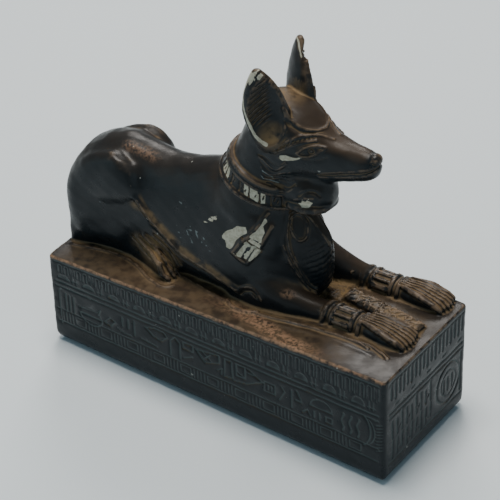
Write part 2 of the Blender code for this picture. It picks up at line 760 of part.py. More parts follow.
def ladder(bm, place, length):
    """The narrow row of bars in pairs with a long blank between them."""
    low, high = LADDER_BAND
    places, step = spread(length, LADDER_PITCH, CORNER_MARGIN)
    for s in places:
        for gap in (-step * LADDER_GAP, step * LADDER_GAP):
            stroke(bm, place, (s + gap, low), (s + gap, high), STROKE_WIDTH)


def carve_plinth(block):
    """Cut the rows of signs into the plinth's four sides, plainer at the back and the left."""
    cutters = bmesh.new()
    for side in ("right", "front", "left", "rear"):
        length, place = side_frame(side)
        long = side in ("right", "left")
        rows(cutters, place, length, LONG_LINES if long else END_LINES)
        frieze(cutters, place, length, LONG_FRIEZE if long else END_FRIEZE)
        if side != "rear":
            signs(cutters, place, length, LONG_SIGNS if long else END_SIGNS)
        if side == "right":
            ladder(cutters, place, length)
    cut(block, link("strokes", cutters))


def resin():
    """Black paint over cast resin."""
    material = bpy.data.materials.new("painted_resin")
    material.use_nodes = True
    shader = material.node_tree.nodes["Principled BSDF"]
    shader.inputs["Base Color"].default_value = (0.012, 0.014, 0.016, 1)
    shader.inputs["Roughness"].default_value = 0.38
    shader.inputs["Metallic"].default_value = 0.0
    return material


remove_everything()
figurine = jackal_clay()
carve_lines(figurine, HEAD_LINES, (1, -1))
carve_lines(figurine, FLANK_LINES, (1, -1))
carve_lines(figurine, SASH_LINES, (-1,))
thin_out(figurine)
block = plinth()
carve_plinth(block)
cut(figurine, block, "UNION")
figurine.data.materials.clear()
figurine.data.materials.append(resin())
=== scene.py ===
"""The looks of a cast resin jackal on a plinth: its fine carving, worn black paint and dust.

The jackal is laid out on a grid in millimetres: x and y from the plinth's centre and h above the
plinth's top. +X is the way it faces, +Y its left side. Carving on the plinth's sides is laid out by
s, along a side from its left end as seen from outside, and z, the height above the floor.
"""
from math import cos, pi, radians, sin

import bmesh
import bpy
import numpy as np
from mathutils import Matrix, Vector


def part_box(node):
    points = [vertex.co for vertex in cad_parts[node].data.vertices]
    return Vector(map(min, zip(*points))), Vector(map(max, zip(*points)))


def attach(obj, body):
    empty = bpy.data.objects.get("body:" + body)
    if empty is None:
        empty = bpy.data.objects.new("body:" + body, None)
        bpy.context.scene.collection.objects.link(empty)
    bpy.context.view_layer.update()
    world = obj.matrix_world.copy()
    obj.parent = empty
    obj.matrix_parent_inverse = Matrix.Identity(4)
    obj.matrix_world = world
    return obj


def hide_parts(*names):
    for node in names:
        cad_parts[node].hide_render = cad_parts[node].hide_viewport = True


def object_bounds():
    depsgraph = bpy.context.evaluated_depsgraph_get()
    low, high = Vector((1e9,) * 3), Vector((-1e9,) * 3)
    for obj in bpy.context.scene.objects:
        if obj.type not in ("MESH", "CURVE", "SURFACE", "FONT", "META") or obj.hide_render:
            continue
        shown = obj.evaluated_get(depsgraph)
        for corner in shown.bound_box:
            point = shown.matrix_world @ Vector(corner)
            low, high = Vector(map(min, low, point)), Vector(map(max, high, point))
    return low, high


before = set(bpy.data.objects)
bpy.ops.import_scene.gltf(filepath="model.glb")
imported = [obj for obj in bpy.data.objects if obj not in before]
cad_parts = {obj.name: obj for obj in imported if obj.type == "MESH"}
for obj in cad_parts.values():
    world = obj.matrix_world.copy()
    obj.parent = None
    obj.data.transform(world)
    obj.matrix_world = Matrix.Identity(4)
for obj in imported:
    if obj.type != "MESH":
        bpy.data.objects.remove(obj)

CAD_BOX = [list(corner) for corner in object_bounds()]
LOW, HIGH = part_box("jackal_figurine")
GRID = 0.001

# Plinth, in millimetres
LENGTH = (HIGH.x - LOW.x) / GRID
WIDTH = (HIGH.y - LOW.y) / GRID
FRONT_HEIGHT = 43.6
REAR_HEIGHT = 37.2
FOOT_ROUNDING = 4.2
CORNER_ROUNDING = 1.6
TOP_ROUNDING = 0.5
TOUCHING = 1e-6

# Clay
FINE_VOXEL = 0.36
FINE_SMOOTHING = 2
MOST_TRIANGLES = 196000
HEAD_LEVEL = 2.0
FAR_OUT = 40
END_SHARE = 0.5
END_REACH = 0.7
UPRIGHT = 0.2


def plinth_height(x):
    """Height of the plinth's top at x, in millimetres."""
    return REAR_HEIGHT + (x / LENGTH + 0.5) * (FRONT_HEIGHT - REAR_HEIGHT)


def on_plinth(x, y, h):
    """The point at x, y and h above the plinth's top, in metres."""
    return Vector((x, y, plinth_height(x) + h)) * GRID


def link(name, bm):
    """Make an object of a bmesh, with its faces pointing out."""
    bmesh.ops.recalc_face_normals(bm, faces=bm.faces)
    mesh = bpy.data.meshes.new(name)
    bm.to_mesh(mesh)
    bm.free()
    thing = bpy.data.objects.new(name, mesh)
    bpy.context.scene.collection.objects.link(thing)
    return thing


def oval(t, exponent):
    """Point at angle t on a unit superellipse; exponent 2 is an ellipse, more is squarer."""
    across = abs(cos(t)) ** (2 / exponent) * (1 if cos(t) >= 0 else -1)
    up = abs(sin(t)) ** (2 / exponent) * (1 if sin(t) >= 0 else -1)
    return across, up


def skin(bm, rings):
    """Skin a closed body over rings of points, with a pole at each end."""
    loops = [[bm.verts.new(point) for point in ring] for ring in rings]
    count = len(loops[0])
    for low, high in zip(loops, loops[1:]):
        for k in range(count):
            after = (k + 1) % count
            bm.faces.new((low[k], low[after], high[after], high[k]))
    for loop in (loops[0], loops[-1]):
        centre = sum((vert.co for vert in loop), Vector()) / count
        pole = bm.verts.new(centre)
        for k in range(count):
            bm.faces.new((loop[k], loop[(k + 1) % count], pole))


def body(bm, stations, sides=24, exponent=2.2, foot_exponent=None):
    """A body along x. A station is x, y, widest height, top, bottom and half width.

    Its lower half can have squarer sides than its upper half.
    """
    rings = []
    for x, y, middle, top, bottom, half in stations:
        ring = []
        for k in range(sides):
            t = 2 * pi * k / sides
            across, up = oval(t, foot_exponent if foot_exponent and sin(t) < 0 else exponent)
            rise = up * (top - middle if up >= 0 else middle - bottom)
            ring.append(on_plinth(x, y + across * half, middle + rise))
        rings.append(ring)
    skin(bm, rings)


def column(bm, stations, sides=24, exponent=2.0):
    """A body that climbs. A station is x, y, h, forward lean, half length and half width."""
    rings = []
    for x, y, h, lean, half_length, half_width in stations:
        ahead = Vector((cos(radians(lean)), 0, -sin(radians(lean))))
        ring = []
        for k in range(sides):
            across, along = oval(2 * pi * k / sides, exponent)
            offset = ahead * along * half_length
            ring.append(on_plinth(x + offset.x, y + across * half_width, h + offset.z))
        rings.append(ring)
    skin(bm, rings)


def rope(bm, points, sides=10):
    """A round cord laid along points of x, y, h and radius, with ends that taper to END_SHARE."""
    spots = [Vector(point[:3]) for point in points]
    radii = [point[3] for point in points]
    first = (spots[1] - spots[0]).normalized()
    last = (spots[-1] - spots[-2]).normalized()
    first *= radii[0] * END_REACH
    last *= radii[-1] * END_REACH
    spots = [spots[0] - first] + spots + [spots[-1] + last]
    radii = [radii[0] * END_SHARE] + radii + [radii[-1] * END_SHARE]
    rings = []
    for k, spot in enumerate(spots):
        along = spots[min(k + 1, len(spots) - 1)] - spots[max(k - 1, 0)]
        along.normalize()
        side = along.cross(Vector((0, 0, 1)))
        if side.length < UPRIGHT:
            side = along.cross(Vector((0, 1, 0)))
        side.normalize()
        other = along.cross(side)
        ring = []
        for j in range(sides):
            t = 2 * pi * j / sides
            point = spot + (side * cos(t) + other * sin(t)) * radii[k]
            ring.append(on_plinth(*point))
        rings.append(ring)
    skin(bm, rings)


def ball(bm, centre, radii, sides=20):
    """An ellipsoid with half sizes along x, y and h."""
    x, y, h = centre
    rings = []
    for k in range(1, sides // 2):
        t = 2 * pi * k / sides
        ring = []
        for j in range(sides):
            s = 2 * pi * j / sides
            spot = (x - radii[0] * cos(t), y + radii[1] * sin(t) * cos(s), h + radii[2] * sin(t) * sin(s))
            ring.append(on_plinth(*spot))
        rings.append(ring)
    skin(bm, rings)


# The jackal's forms, on its grid. A station of a long form is x, y, widest height, top, bottom and
# half width; of a climbing form x, y, h, forward lean, half length and half width. In a paired form
# y is the distance from the body's mid-line, which drifts to the left from the loins forward. The
# left upper arm is the fuller one.
MIDLINE = ((-31.0, 0.2), (-13.0, 1.2), (6.0, 2.4), (20.0, 3.8), (36.0, 7.9), (64.0, 7.6))
TRUNK = (
    (-69.9, 0.0, 20, 27, 4, 10.0),
    (-69.2, 0.0, 20, 32, -3, 13.8),
    (-65.5, 0.0, 21, 37.2, -3, 15.4),
    (-58.0, 0.0, 22, 41.6, -3, 14.2),
    (-50.0, 0.0, 22, 43.8, -3, 12.8),
    (-40.0, 0.0, 20, 42.0, -3, 12.0),
    (-31.0, 0.2, 17, 41.0, -3, 12.2),
    (-22.0, 0.6, 14, 42.2, -3, 13.2),
    (-13.0, 1.2, 13, 45.0, -3, 14.4),
    (-4.0, 1.8, 13, 48.5, -3, 15.6),
    (6.0, 2.4, 14, 48.0, -3, 15.8),
    (13.0, 3.0, 15, 45.0, -3, 14.0),
    (20.0, 3.3, 16, 37.8, -3, 9.0),
    (25.0, 3.4, 16, 31.8, 0, 5.6),
    (28.4, 3.4, 16, 27.8, 4, 4.0),
    (30.8, 3.6, 16, 24.0, 8, 2.0),
)
NECK = (
    (1.0, 2.0, 33.0, 12, 17.0, 14.5),
    (5.2, 2.0, 43.2, 18, 14.8, 12.5),
    (7.0, 2.0, 48.8, 22, 13.1, 11.6),
    (8.6, 2.0, 56.0, 18, 11.4, 11.0),
    (10.0, 2.0, 64.0, 12, 9.6, 10.2),
    (12.0, 2.0, 72.0, 8, 6.0, 7.0),
)
HEAD = (
    (1.4, 2.0, 66.0, 68.5, 63.5, 2.0),
    (3.0, 2.0, 66.0, 73.0, 58.5, 6.2),
    (7.0, 2.0, 66.0, 76.6, 54.0, 9.4),
    (12.0, 2.0, 65.5, 78.0, 51.5, 10.7),
    (18.0, 2.0, 65.0, 76.8, 50.1, 10.3),
    (23.5, 2.0, 64.5, 74.2, 49.6, 9.0),
    (28.0, 2.0, 63.5, 70.4, 49.6, 7.4),
    (32.0, 2.0, 62.5, 67.8, 50.2, 6.1),
    (36.5, 2.0, 61.5, 66.7, 51.4, 5.2),
    (41.5, 2.0, 61.0, 66.0, 53.0, 4.5),
    (45.5, 2.0, 60.8, 65.6, 54.6, 4.1),
    (48.2, 2.0, 60.8, 65.2, 55.8, 3.6),
    (49.7, 2.0, 61.2, 64.4, 57.6, 2.6),
    (50.2, 2.0, 61.5, 63.0, 60.0, 1.2),
)
HIP = (
    (-68.6, 8.2, 21, 27, 8, 4.2),
    (-66.5, 9.0, 22, 32, 10, 5.2),
    (-62.0, 9.6, 25, 36.5, 15, 5.2),
    (-56.5, 9.8, 27, 39.6, 18, 5.0),
    (-50.0, 10.2, 29, 41.4, 20, 4.6),
    (-45.0, 10.4, 30, 40.2, 22, 4.2),
    (-41.0, 10.0, 30, 37.0, 24, 3.6),
    (-38.5, 9.0, 30, 32.0, 28, 2.0),
)
SHANK = (
    (-69.8, 10.6, 3.0, 9.0, -2, 3.2),
    (-68.6, 10.0, 3.5, 12.0, -3, 4.4),
    (-60.0, 7.2, 4.0, 12.6, -3, 4.3),
    (-50.0, 6.5, 4.5, 13.4, -3, 4.1),
    (-41.0, 7.4, 5.0, 13.2, -3, 4.1),
    (-33.0, 9.8, 4.0, 10.8, -3, 4.3),
    (-27.5, 11.8, 3.0, 7.8, -3, 4.4),
    (-23.0, 12.6, 2.0, 4.0, -3, 3.6),
)
FORELEG = (
    (-4.0, 9.6, 2, 5, -3, 2.2),
    (-0.5, 9.6, 3, 10, -3, 4.6),
    (5.0, 9.6, 4, 15, -3, 5.6),
    (11.0, 9.8, 4, 15, -3, 6.2),
    (17.0, 10.0, 3, 11.0, -3, 5.6),
    (22.0, 10.5, 2, 8.0, -3, 4.9),
    (27.0, 11.0, 1.5, 6.6, -3, 4.4),
    (31.0, 11.5, 1, 5.8, -3, 4.1),
    (36.0, 11.9, 1, 5.2, -3, 4.0),
    (49.0, 11.6, 1, 5.0, -3, 4.0),
    (54.0, 11.7, 1, 4.6, -3, 4.6),
    (60.0, 12.0, 1, 3.8, -3, 5.0),
    (64.5, 12.2, 0.5, 2.0, -3, 4.6),
)
FAR_ARM = (
    (8.0, 13.6, 8, 19.0, -3, 3.6),
    (13.0, 14.0, 8, 20.4, -3, 4.8),
    (18.0, 14.6, 6, 18.2, -3, 5.3),
    (23.0, 15.2, 5, 13.6, -3, 4.9),
    (27.5, 16.0, 4, 10.8, -3, 4.7),
    (31.5, 17.6, 2, 8.0, -3, 4.4),
    (35.0, 19.2, 1, 5.8, -3, 4.0),
    (38.0, 19.6, 1, 4.4, -3, 3.6),
)
SHOULDER = ((5.0, 7.0, 25.0), (14.0, 8.4, 17.0))
CHEEK = ((15.5, 5.6, 58.5), (9.0, 4.8, 8.6))
HIP_POINT = ((-55.4, 11.2, 26.4), (4.6, 3.6, 3.8))
KNEE_POINT = ((-42.0, 11.0, 30.2), (3.6, 3.2, 3.4))
THROAT = (
    (6.0, 2.0, 44.0, 52.0, 36.0, 5.0),
    (14.0, 2.0, 44.0, 53.0, 38.2, 7.0),
    (20.0, 2.0, 45.0, 54.0, 38.6, 7.6),
    (26.0, 2.0, 45.0, 53.0, 38.8, 7.2),
    (30.6, 2.0, 45.0, 51.0, 39.2, 5.4),
    (33.0, 2.0, 44.5, 48.0, 41.0, 2.6),
)
SOFT_VOXEL = 1.0 * GRID
SOFT_SMOOTHING = 14

# Forms that keep their edges, laid on the softened body.
COLLAR = (
    (4.6, 2.0, 41.2, 17, 14.0, 12.0),
    (4.9, 2.0, 42.0, 17, 16.2, 14.0),
    (5.2, 2.0, 43.0, 18, 16.2, 13.9),
    (5.3, 2.0, 43.4, 18, 15.3, 13.1),
    (6.5, 2.0, 47.2, 21, 14.2, 12.5),
    (6.6, 2.0, 47.6, 21, 14.9, 13.2),
    (6.9, 2.0, 48.6, 22, 14.7, 13.1),
    (7.0, 2.0, 48.9, 22, 13.8, 12.3),
    (7.1, 2.0, 49.3, 22, 14.4, 12.9),
    (7.4, 2.0, 50.3, 22, 14.2, 12.7),
    (7.7, 2.0, 51.0, 22, 11.8, 10.6),
)
THROAT_KNOT = (
    (14.0, 2.0, 40.0, 42.0, 38.8, 5.2),
    (19.0, 2.0, 39.9, 42.8, 38.3, 7.3),
    (25.0, 2.0, 39.9, 42.8, 38.2, 7.4),
    (29.0, 2.0, 40.1, 42.8, 38.3, 6.2),
    (31.4, 2.0, 40.5, 42.8, 39.0, 4.2),
    (32.4, 2.0, 41.0, 42.4, 39.8, 2.2),
)
NOSE = ((47.9, 2.0, 63.1), (2.4, 2.8, 2.4))
CUFF_BAND = (38.6, 44.4)
CUFF = (
    (33.6, 11.8, 1, 4.2, -3, 3.2),
    (34.0, 11.8, 1, 5.7, -3, 4.9),
    (35.2, 11.8, 1, 5.7, -3, 4.9),
    (35.6, 11.8, 1, 4.9, -3, 4.1),
    (36.7, 11.8, 1, 4.9, -3, 4.1),
    (37.1, 11.8, 1, 5.6, -3, 4.8),
    (38.2, 11.8, 1, 5.6, -3, 4.8),
    (38.6, 11.8, 1, 4.9, -3, 4.1),
    (44.4, 11.8, 1, 4.9, -3, 4.1),
    (44.8, 11.8, 1, 5.6, -3, 4.8),
    (45.9, 11.8, 1, 5.6, -3, 4.8),
    (46.3, 11.8, 1, 4.9, -3, 4.1),
    (47.3, 11.8, 1, 4.9, -3, 4.1),
    (47.7, 11.8, 1, 5.7, -3, 4.9),
    (48.9, 11.8, 1, 5.7, -3, 4.9),
    (49.3, 11.8, 1, 4.2, -3, 3.4),
)
PLAQUE = (
    (21.0, 9.2, -1, 2.4, -3, 5.0),
    (33.4, 8.4, -1, 1.4, -3, 5.6),
    (34.0, 8.3, -1, 2.5, -3, 3.3),
    (64.0, 3.4, -1, 1.9, -3, 3.6),
    (64.9, 3.2, -1, 1.4, -3, 3.4),
)
EAR = (
    (14.0, 7.0, 61.0, 4.6, 4.2),
    (14.4, 8.0, 66.0, 6.4, 5.2),
    (14.0, 9.0, 71.0, 7.4, 5.0),
    (13.2, 9.8, 76.5, 7.5, 4.3),
    (12.7, 10.4, 82.0, 6.3, 3.3),
    (12.2, 11.0, 86.5, 4.5, 2.4),
    (11.8, 11.6, 90.0, 2.6, 1.6),
    (11.6, 11.9, 92.0, 1.1, 0.9),
)
EAR_TURN = 35
EAR_SIDES = 28
EAR_HOLLOW_STEPS = 16
EAR_HOLLOW = (13.8, 9.9, 77.4)
EAR_HOLLOW_OUT = 4.4
EAR_HOLLOW_SIZE = (6.6, 4.4, 13.0)
TAIL = (
    (-66.6, 1.0, 25.0, 2.6),
    (-66.8, 5.0, 14.0, 2.8),
    (-65.6, 12.5, 3.5, 3.0),
    (-59.0, 18.2, 0.2, 3.4),
    (-47.0, 18.8, 0.2, 3.3),
    (-37.0, 18.6, 0.2, 3.1),
    (-27.0, 18.4, 0.1, 2.4),
)
TOES_FRONT = (50.0, 66.6, 11.6, 8.6, 4.8, 1.9, 1.2, 6)
TOES_HIND = (-31.0, -22.4, 12.9, 6.4, 8.4, 1.6, 1.3, 4)
TOE_FAN = 0.62
TOE_SHORTER = 2.4
TOE_ROOT = 0.8
TOE_ARCH = 1.2
TOE_BEND = 2.5
FLUTE_COUNT = 5
CUFF_MIDDLE = (11.8, 1.0)
FLUTE_REACH = 4.0
FLUTE_RADIUS = 0.6

# Lines carved in the skin, as points x and h seen from the side, with a width and a height.
# A positive height stands proud, a negative one is cut in.
FLANK_LINES = (
    (((-39.5, 27.5), (-34.1, 21.5), (-28.9, 17.5), (-24.8, 14.9), (-20.3, 12.0), (-14.9, 10.6)), 1.3, 1.1),
    (((-14.9, 10.6), (-7.5, 9.0), (-1.2, 6.4), (3.0, 4.6)), 1.3, 1.1),
    (((-33.0, 18.2), (-24.0, 12.2), (-20.0, 9.4), (-15.0, 8.0), (-8.0, 6.4), (-2.0, 4.0)), 1.0, -0.7),
)
SASH_LINES = (
    (((13.5, 36.8), (9.9, 29.8), (5.4, 25.0), (2.4, 20.2)), 0.9, 0.60),
    (((2.4, 20.2), (5.0, 18.6), (7.6, 17.3)), 0.9, 0.60),
    (((7.6, 17.3), (10.7, 21.9), (13.3, 27.3), (15.2, 32.4)), 0.9, 0.60),
    (((6.4, 26.8), (9.6, 25.0), (12.4, 23.0)), 0.8, -0.50),
)


def midline(x):
    """The y of the body's middle at x."""
    places = [place for place, level in MIDLINE]
    levels = [level for place, level in MIDLINE]
    return float(np.interp(x, places, levels))


def paired(stations, side):
    """Stations of one side of the body, put on the left (side 1) or the right (side -1)."""
    return [(s[0], midline(s[0]) + side * s[1]) + tuple(s[2:]) for s in stations]


def curved(points, steps=5):
    """A smooth run through the points."""
    spots = [np.array(point, float) for point in points]
    spots = [2 * spots[0] - spots[1]] + spots + [2 * spots[-1] - spots[-2]]
    run = []
    for k in range(1, len(spots) - 2):
        a, b, c, d = spots[k - 1:k + 3]
        for j in range(steps):
            t = j / steps
            run.append(b + 0.5 * t * (c - a + t * (2 * a - 5 * b + 4 * c - d + t * (3 * (b - c) + d - a))))
    run.append(spots[-2])
    return [tuple(float(value) for value in spot) for spot in run]


def ear(side):
    """One ear: a leaf standing on the skull, hollowed toward the front and its own side."""
    turn = radians(EAR_TURN)
    wide = Vector((cos(turn), -side * sin(turn), 0))
    open_way = Vector((sin(turn), side * cos(turn), 0))

    def disc(centre, half_wide, half_deep, h):
        ring = []
        for k in range(EAR_SIDES):
            t = 2 * pi * k / EAR_SIDES
            spot = centre + wide * half_wide * cos(t) + open_way * half_deep * sin(t)
            ring.append(on_plinth(spot.x, spot.y, h))
        return ring

    leaf = bmesh.new()
    rings = [disc(Vector((x, HEAD_LEVEL + side * y, 0)), w, d, h) for x, y, h, w, d in curved(EAR, 2)]
    skin(leaf, rings)
    shell = link("ear", leaf)
    x, y, h = EAR_HOLLOW
    centre = Vector((x, HEAD_LEVEL + side * y, 0)) + open_way * EAR_HOLLOW_OUT
    half_wide, half_deep, half_high = EAR_HOLLOW_SIZE
    hollow = bmesh.new()
    rings = []
    for k in range(1, EAR_HOLLOW_STEPS):
        t = pi * k / EAR_HOLLOW_STEPS
        rings.append(disc(centre, half_wide * sin(t), half_deep * sin(t), h - half_high * cos(t)))
    skin(hollow, rings)
    cut(shell, link("ear_hollow", hollow))
    return shell


def cut(thing, cutter, operation="DIFFERENCE"):
    """Apply a Boolean with the cutter, then delete the cutter."""
    modifier = thing.modifiers.new(operation.lower(), "BOOLEAN")
    modifier.operation = operation
    modifier.solver = "EXACT"
    modifier.object = cutter
    freeze(thing)
    bpy.data.objects.remove(cutter, do_unlink=True)


def freeze(thing):
    """Replace the object's mesh by what its modifiers make of it."""
    bpy.context.view_layer.update()
    graph = bpy.context.evaluated_depsgraph_get()
    mesh = bpy.data.meshes.new_from_object(thing.evaluated_get(graph))
    thing.modifiers.clear()
    thing.data = mesh


def toes(bm, sizes, side, level):
    """Long toes side by side, from start to end of a foot, the outer ones shorter."""
    x_start, x_end, y_middle, foot_width, h_start, h_end, radius, count = sizes
    for k in range(count):
        share = k / (count - 1) - 0.5
        y_start = level + side * y_middle + share * foot_width * TOE_FAN
        y = level + side * y_middle + share * foot_width
        tip = x_end - abs(share) * TOE_SHORTER
        middle = (x_start + tip) / 2
        rope(bm, (
            (x_start, y_start, h_start, radius * TOE_ROOT),
            (middle, y, (h_start + h_end + TOE_ARCH) / 2, radius),
            (tip - TOE_BEND, y, h_end + TOE_ARCH / 2, radius),
            (tip, y, h_end - TOE_ARCH / 2, radius * TOE_ROOT),
        ), sides=8)


def flutes(bm, level, side):
    """Raised bars along a cuff, between its two pairs of rings."""
    y_middle, h_middle = CUFF_MIDDLE
    for k in range(FLUTE_COUNT):
        t = pi * (k + 0.5) / FLUTE_COUNT
        y = level + side * (y_middle + FLUTE_REACH * cos(t))
        h = h_middle + FLUTE_REACH * sin(t)
        rope(bm, [(x, y, h, FLUTE_RADIUS) for x in CUFF_BAND], sides=6)


def soft_clay():
    """The trunk, limbs, neck and head, run together and softened as one body."""
    bm = bmesh.new()
    body(bm, TRUNK, sides=40, exponent=2.1, foot_exponent=2.6)
    column(bm, NECK, sides=32)
    body(bm, HEAD, sides=32, exponent=2.35)
    body(bm, THROAT, sides=32)
    body(bm, FAR_ARM, foot_exponent=5)
    for side in (1, -1):
        body(bm, paired(HIP, side))
        body(bm, paired(SHANK, side), foot_exponent=5)
        body(bm, paired(FORELEG, side), foot_exponent=5)
        for centre, radii in (SHOULDER, HIP_POINT, KNEE_POINT):
            x, y, h = centre
            ball(bm, (x, midline(x) + side * y, h), radii)
        centre, radii = CHEEK
        ball(bm, (centre[0], HEAD_LEVEL + side * centre[1], centre[2]), radii)
    clay = link("jackal_figurine", bm)
    fuse(clay, SOFT_VOXEL, SOFT_SMOOTHING)
    round_off = clay.modifiers.new("round_off", "SUBSURF")
    round_off.levels = 1
    freeze(clay)
    return clay


def jackal_clay():
    """The softened body with its collar, knot, plaque, nose, tail, cuffs, toes and ears laid on."""
    clay = soft_clay()
    bm = bmesh.new()
    bm.from_mesh(clay.data)
    column(bm, COLLAR, sides=48)
    body(bm, THROAT_KNOT, exponent=2.2, foot_exponent=6)
    body(bm, PLAQUE, exponent=4)
    ball(bm, *NOSE)
    rope(bm, curved(TAIL, 3), sides=14)
    for side in (1, -1):
        body(bm, paired(CUFF, side), foot_exponent=5)
        toes(bm, TOES_FRONT, side, midline(TOES_FRONT[0]))
        toes(bm, TOES_HIND, side, midline(TOES_HIND[0]))
        flutes(bm, midline(CUFF[0][0]), side)
        shell = ear(side)
        bm.from_mesh(shell.data)
        bpy.data.objects.remove(shell, do_unlink=True)
    bpy.data.objects.remove(clay, do_unlink=True)
    plinth_block(bm)
    clay = link("figurine", bm)
    fuse(clay, FINE_VOXEL * GRID, FINE_SMOOTHING)
    return clay


def fuse(clay, voxel, smoothing):
    """Run the overlapping forms into one skin and soften where they meet."""
    remesh = clay.modifiers.new("fuse", "REMESH")
    remesh.mode = "VOXEL"
    remesh.voxel_size = voxel
    smooth = clay.modifiers.new("soften", "SMOOTH")
    smooth.factor = 0.5
    smooth.iterations = smoothing
    freeze(clay)
    keep_outer_skin(clay)


def keep_outer_skin(clay):
    """Delete the small closed bubbles that the fusing can leave inside."""
    bm = bmesh.new()
    bm.from_mesh(clay.data)
    waiting = set(bm.verts)
    islands = []
    while waiting:
        front = [waiting.pop()]
        island = list(front)
        while front:
            vert = front.pop()
            for edge in vert.link_edges:
                other = edge.other_vert(vert)
                if other in waiting:
                    waiting.remove(other)
                    front.append(other)
                    island.append(other)
        islands.append(island)
    islands.sort(key=len)
    for island in islands[:-1]:
        bmesh.ops.delete(bm, geom=island, context="VERTS")
    bm.to_mesh(clay.data)
    bm.free()


# Carving that shows close by. A run is points x, y and h on the near side, then a width and a height:
# over 0 it stands proud, under 0 it is cut in. Runs on the head repeat on its other side.
HEAD_RUNS = (
    (((18.8, -6.2, 77.9), (20.1, -5.4, 74.9), (22.5, -4.5, 72.2), (25.5, -3.5, 70.7), (28.5, -1.1, 70.0),
      (29.6, 2.0, 69.6)), 0.55, 0.42),
    (((19.6, -6.6, 73.6), (22.3, -5.6, 71.0), (25.4, -4.6, 69.6), (28.4, -2.4, 68.9)), 0.6, -0.35),
    (((17.6, -8.9, 63.6), (20.1, -7.8, 66.1), (23.8, -6.5, 68.4), (27.2, -4.2, 69.4), (30.2, -1.4, 68.9),
      (33.6, 0.2, 67.6)), 0.5, 0.42),
    (((16.9, -8.4, 61.8), (20.0, -7.8, 63.8), (23.3, -7.0, 65.9), (26.5, -5.4, 67.1),
      (29.5, -3.7, 67.6)), 0.45, 0.36),
    (((24.2, -6.9, 62.8), (26.1, -6.1, 64.8), (28.2, -4.9, 65.8), (30.6, -3.9, 66.0),
      (32.6, -3.0, 65.5)), 0.42, 0.5),
    (((24.2, -6.9, 62.8), (25.9, -6.2, 61.8), (28.2, -5.3, 62.1), (30.9, -4.3, 63.7),
      (32.6, -3.0, 65.5)), 0.42, 0.42),
    (((18.3, -8.2, 59.9), (20.6, -7.8, 60.8), (23.8, -6.7, 61.0)), 0.75, 0.34),
    (((29.6, -3.2, 54.9), (34.0, -2.7, 55.4), (39.4, -2.3, 57.2), (44.8, -1.8, 59.0), (48.4, -0.6, 60.7),
      (49.7, 1.4, 61.8)), 0.45, -0.55),
    (((31.0, -3.1, 56.0), (37.7, -2.5, 58.0), (43.1, -1.6, 59.6), (47.6, -1.1, 61.4)), 0.5, 0.22),
    (((30.5, -3.1, 53.8), (34.7, -2.6, 54.6), (40.5, -2.2, 56.2), (46.8, -1.6, 58.3)), 0.5, 0.25),
    (((48.4, -0.4, 63.2), (49.4, -0.1, 62.6), (49.9, 0.6, 62.4)), 0.4, -0.45),
    (((26.4, -6.2, 60.8), (29.6, -4.6, 60.6), (33.4, -3.4, 62.4)), 0.8, -0.25),
)

# Right eye and brow: the pupil's middle and radius, and the scales' lean and half height
PUPIL = ((28.6, -5.3, 64.2), 0.95)
PUPIL_FACING = (0.9, 0.35)
PUPIL_CUT = (0.3, -0.35)
BROW_SCALES = ((17.2, -8.7, 62.8), (20.0, -7.9, 65.0), (23.5, -6.9, 67.2), (26.9, -4.9, 68.3),
               (29.8, -2.6, 68.3))
SCALE_PITCH = 1.15
SCALE_STROKE = (0.35, 0.9)
SCALE_CUT = (0.24, -0.30)

# Cheek strokes: the first one's start, the step to the next, and a length, drift, sag and ripple
CHEEK_START = (10.4, -9.2, 59.0)
CHEEK_STEP = (0.35, 0.24, -1.55)
CHEEK_SWEEP = (9.5, 2.4, 2.0, 0.9)
CHEEK_STROKES = 8
CHEEK_POINTS = 7
CHEEK_WIDTH = 0.36
CHEEK_HEIGHTS = (-0.20, 0.22)

